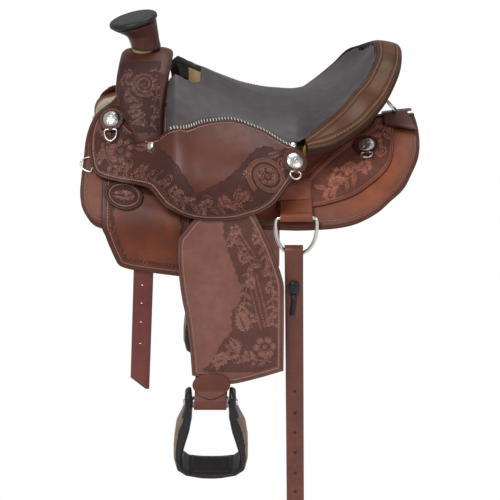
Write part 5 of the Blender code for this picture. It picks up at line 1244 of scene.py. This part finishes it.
def whiteToCamera(tree, plain, white, output):  # one shader lights, the camera sees the other
    ray = node(tree, "LightPath").outputs["Is Camera Ray"]
    both = node(tree, "MixShader", {0: ray, 1: plain.outputs[0], 2: white.outputs[0]})
    tree.links.new(both.outputs[0], tree.nodes[output].inputs["Surface"])


floorSize, floorZ = 6, -1.1
floorMesh = bpy.data.meshes.new("floor")
corners = ((-1, -1), (1, -1), (1, 1), (-1, 1))
floorMesh.from_pydata([(floorSize * x, floorSize * y, 0) for x, y in corners], [], [(0, 1, 2, 3)])
floor = bpy.data.objects.new("floor", floorMesh)
floor.location.z = floorZ
link(floor)
pale = bpy.data.materials.new("pale floor")
pale.use_nodes = True
paleShader = pale.node_tree.nodes["Principled BSDF"]
paleShader.inputs["Base Color"].default_value = (0.9, 0.9, 0.9, 1)
paleShader.inputs["Roughness"].default_value = 0.9
glow = node(pale.node_tree, "Emission", {"Color": (1, 1, 1, 1), "Strength": 1.0})
whiteToCamera(pale.node_tree, paleShader, glow, "Material Output")
floorMesh.materials.append(pale)

world = bpy.data.worlds.new("studio")
bpy.context.scene.world = world
world.use_nodes = True
sky = world.node_tree.nodes["Background"]
sky.inputs["Color"].default_value = (1, 1, 1, 1)
sky.inputs["Strength"].default_value = 0.42
white = node(world.node_tree, "Background", {"Color": (1, 1, 1, 1), "Strength": 1.0})
whiteToCamera(world.node_tree, sky, white, "World Output")

lamps = [
    {"name": "key", "at": (-1.2, -2.2, 2.4), "size": 1.4, "power": 62},
    {"name": "fill", "at": (2.4, -2.0, 1.2), "size": 1.6, "power": 20},
    {"name": "top", "at": (0.4, 0.6, 2.6), "size": 1.6, "power": 26},
]
aim = Vector((0, 0, -0.15))
for lamp in lamps:
    data = bpy.data.lights.new(lamp["name"], "AREA")
    data.size = lamp["size"]
    data.energy = lamp["power"]
    made = bpy.data.objects.new(lamp["name"], data)
    made.location = lamp["at"]
    made.rotation_euler = (aim - Vector(lamp["at"])).to_track_quat("-Z", "Y").to_euler()
    link(made)

cameraData = bpy.data.cameras.new("camera")
cameraData.lens = 115.2
cameraData.sensor_width = 36
camera = bpy.data.objects.new("camera", cameraData)
target = Vector((0, 0, -0.246))
cameraReach, cameraWay = 3.2, Vector((0, -0.9135, 0.4067))  # 24 degrees above the near side
camera.location = target + cameraReach * cameraWay
camera.rotation_euler = (target - camera.location).to_track_quat("-Z", "Y").to_euler()
link(camera)
bpy.context.scene.camera = camera
bpy.context.scene.view_settings.view_transform = "Standard"
print("stage: floor, light and camera")
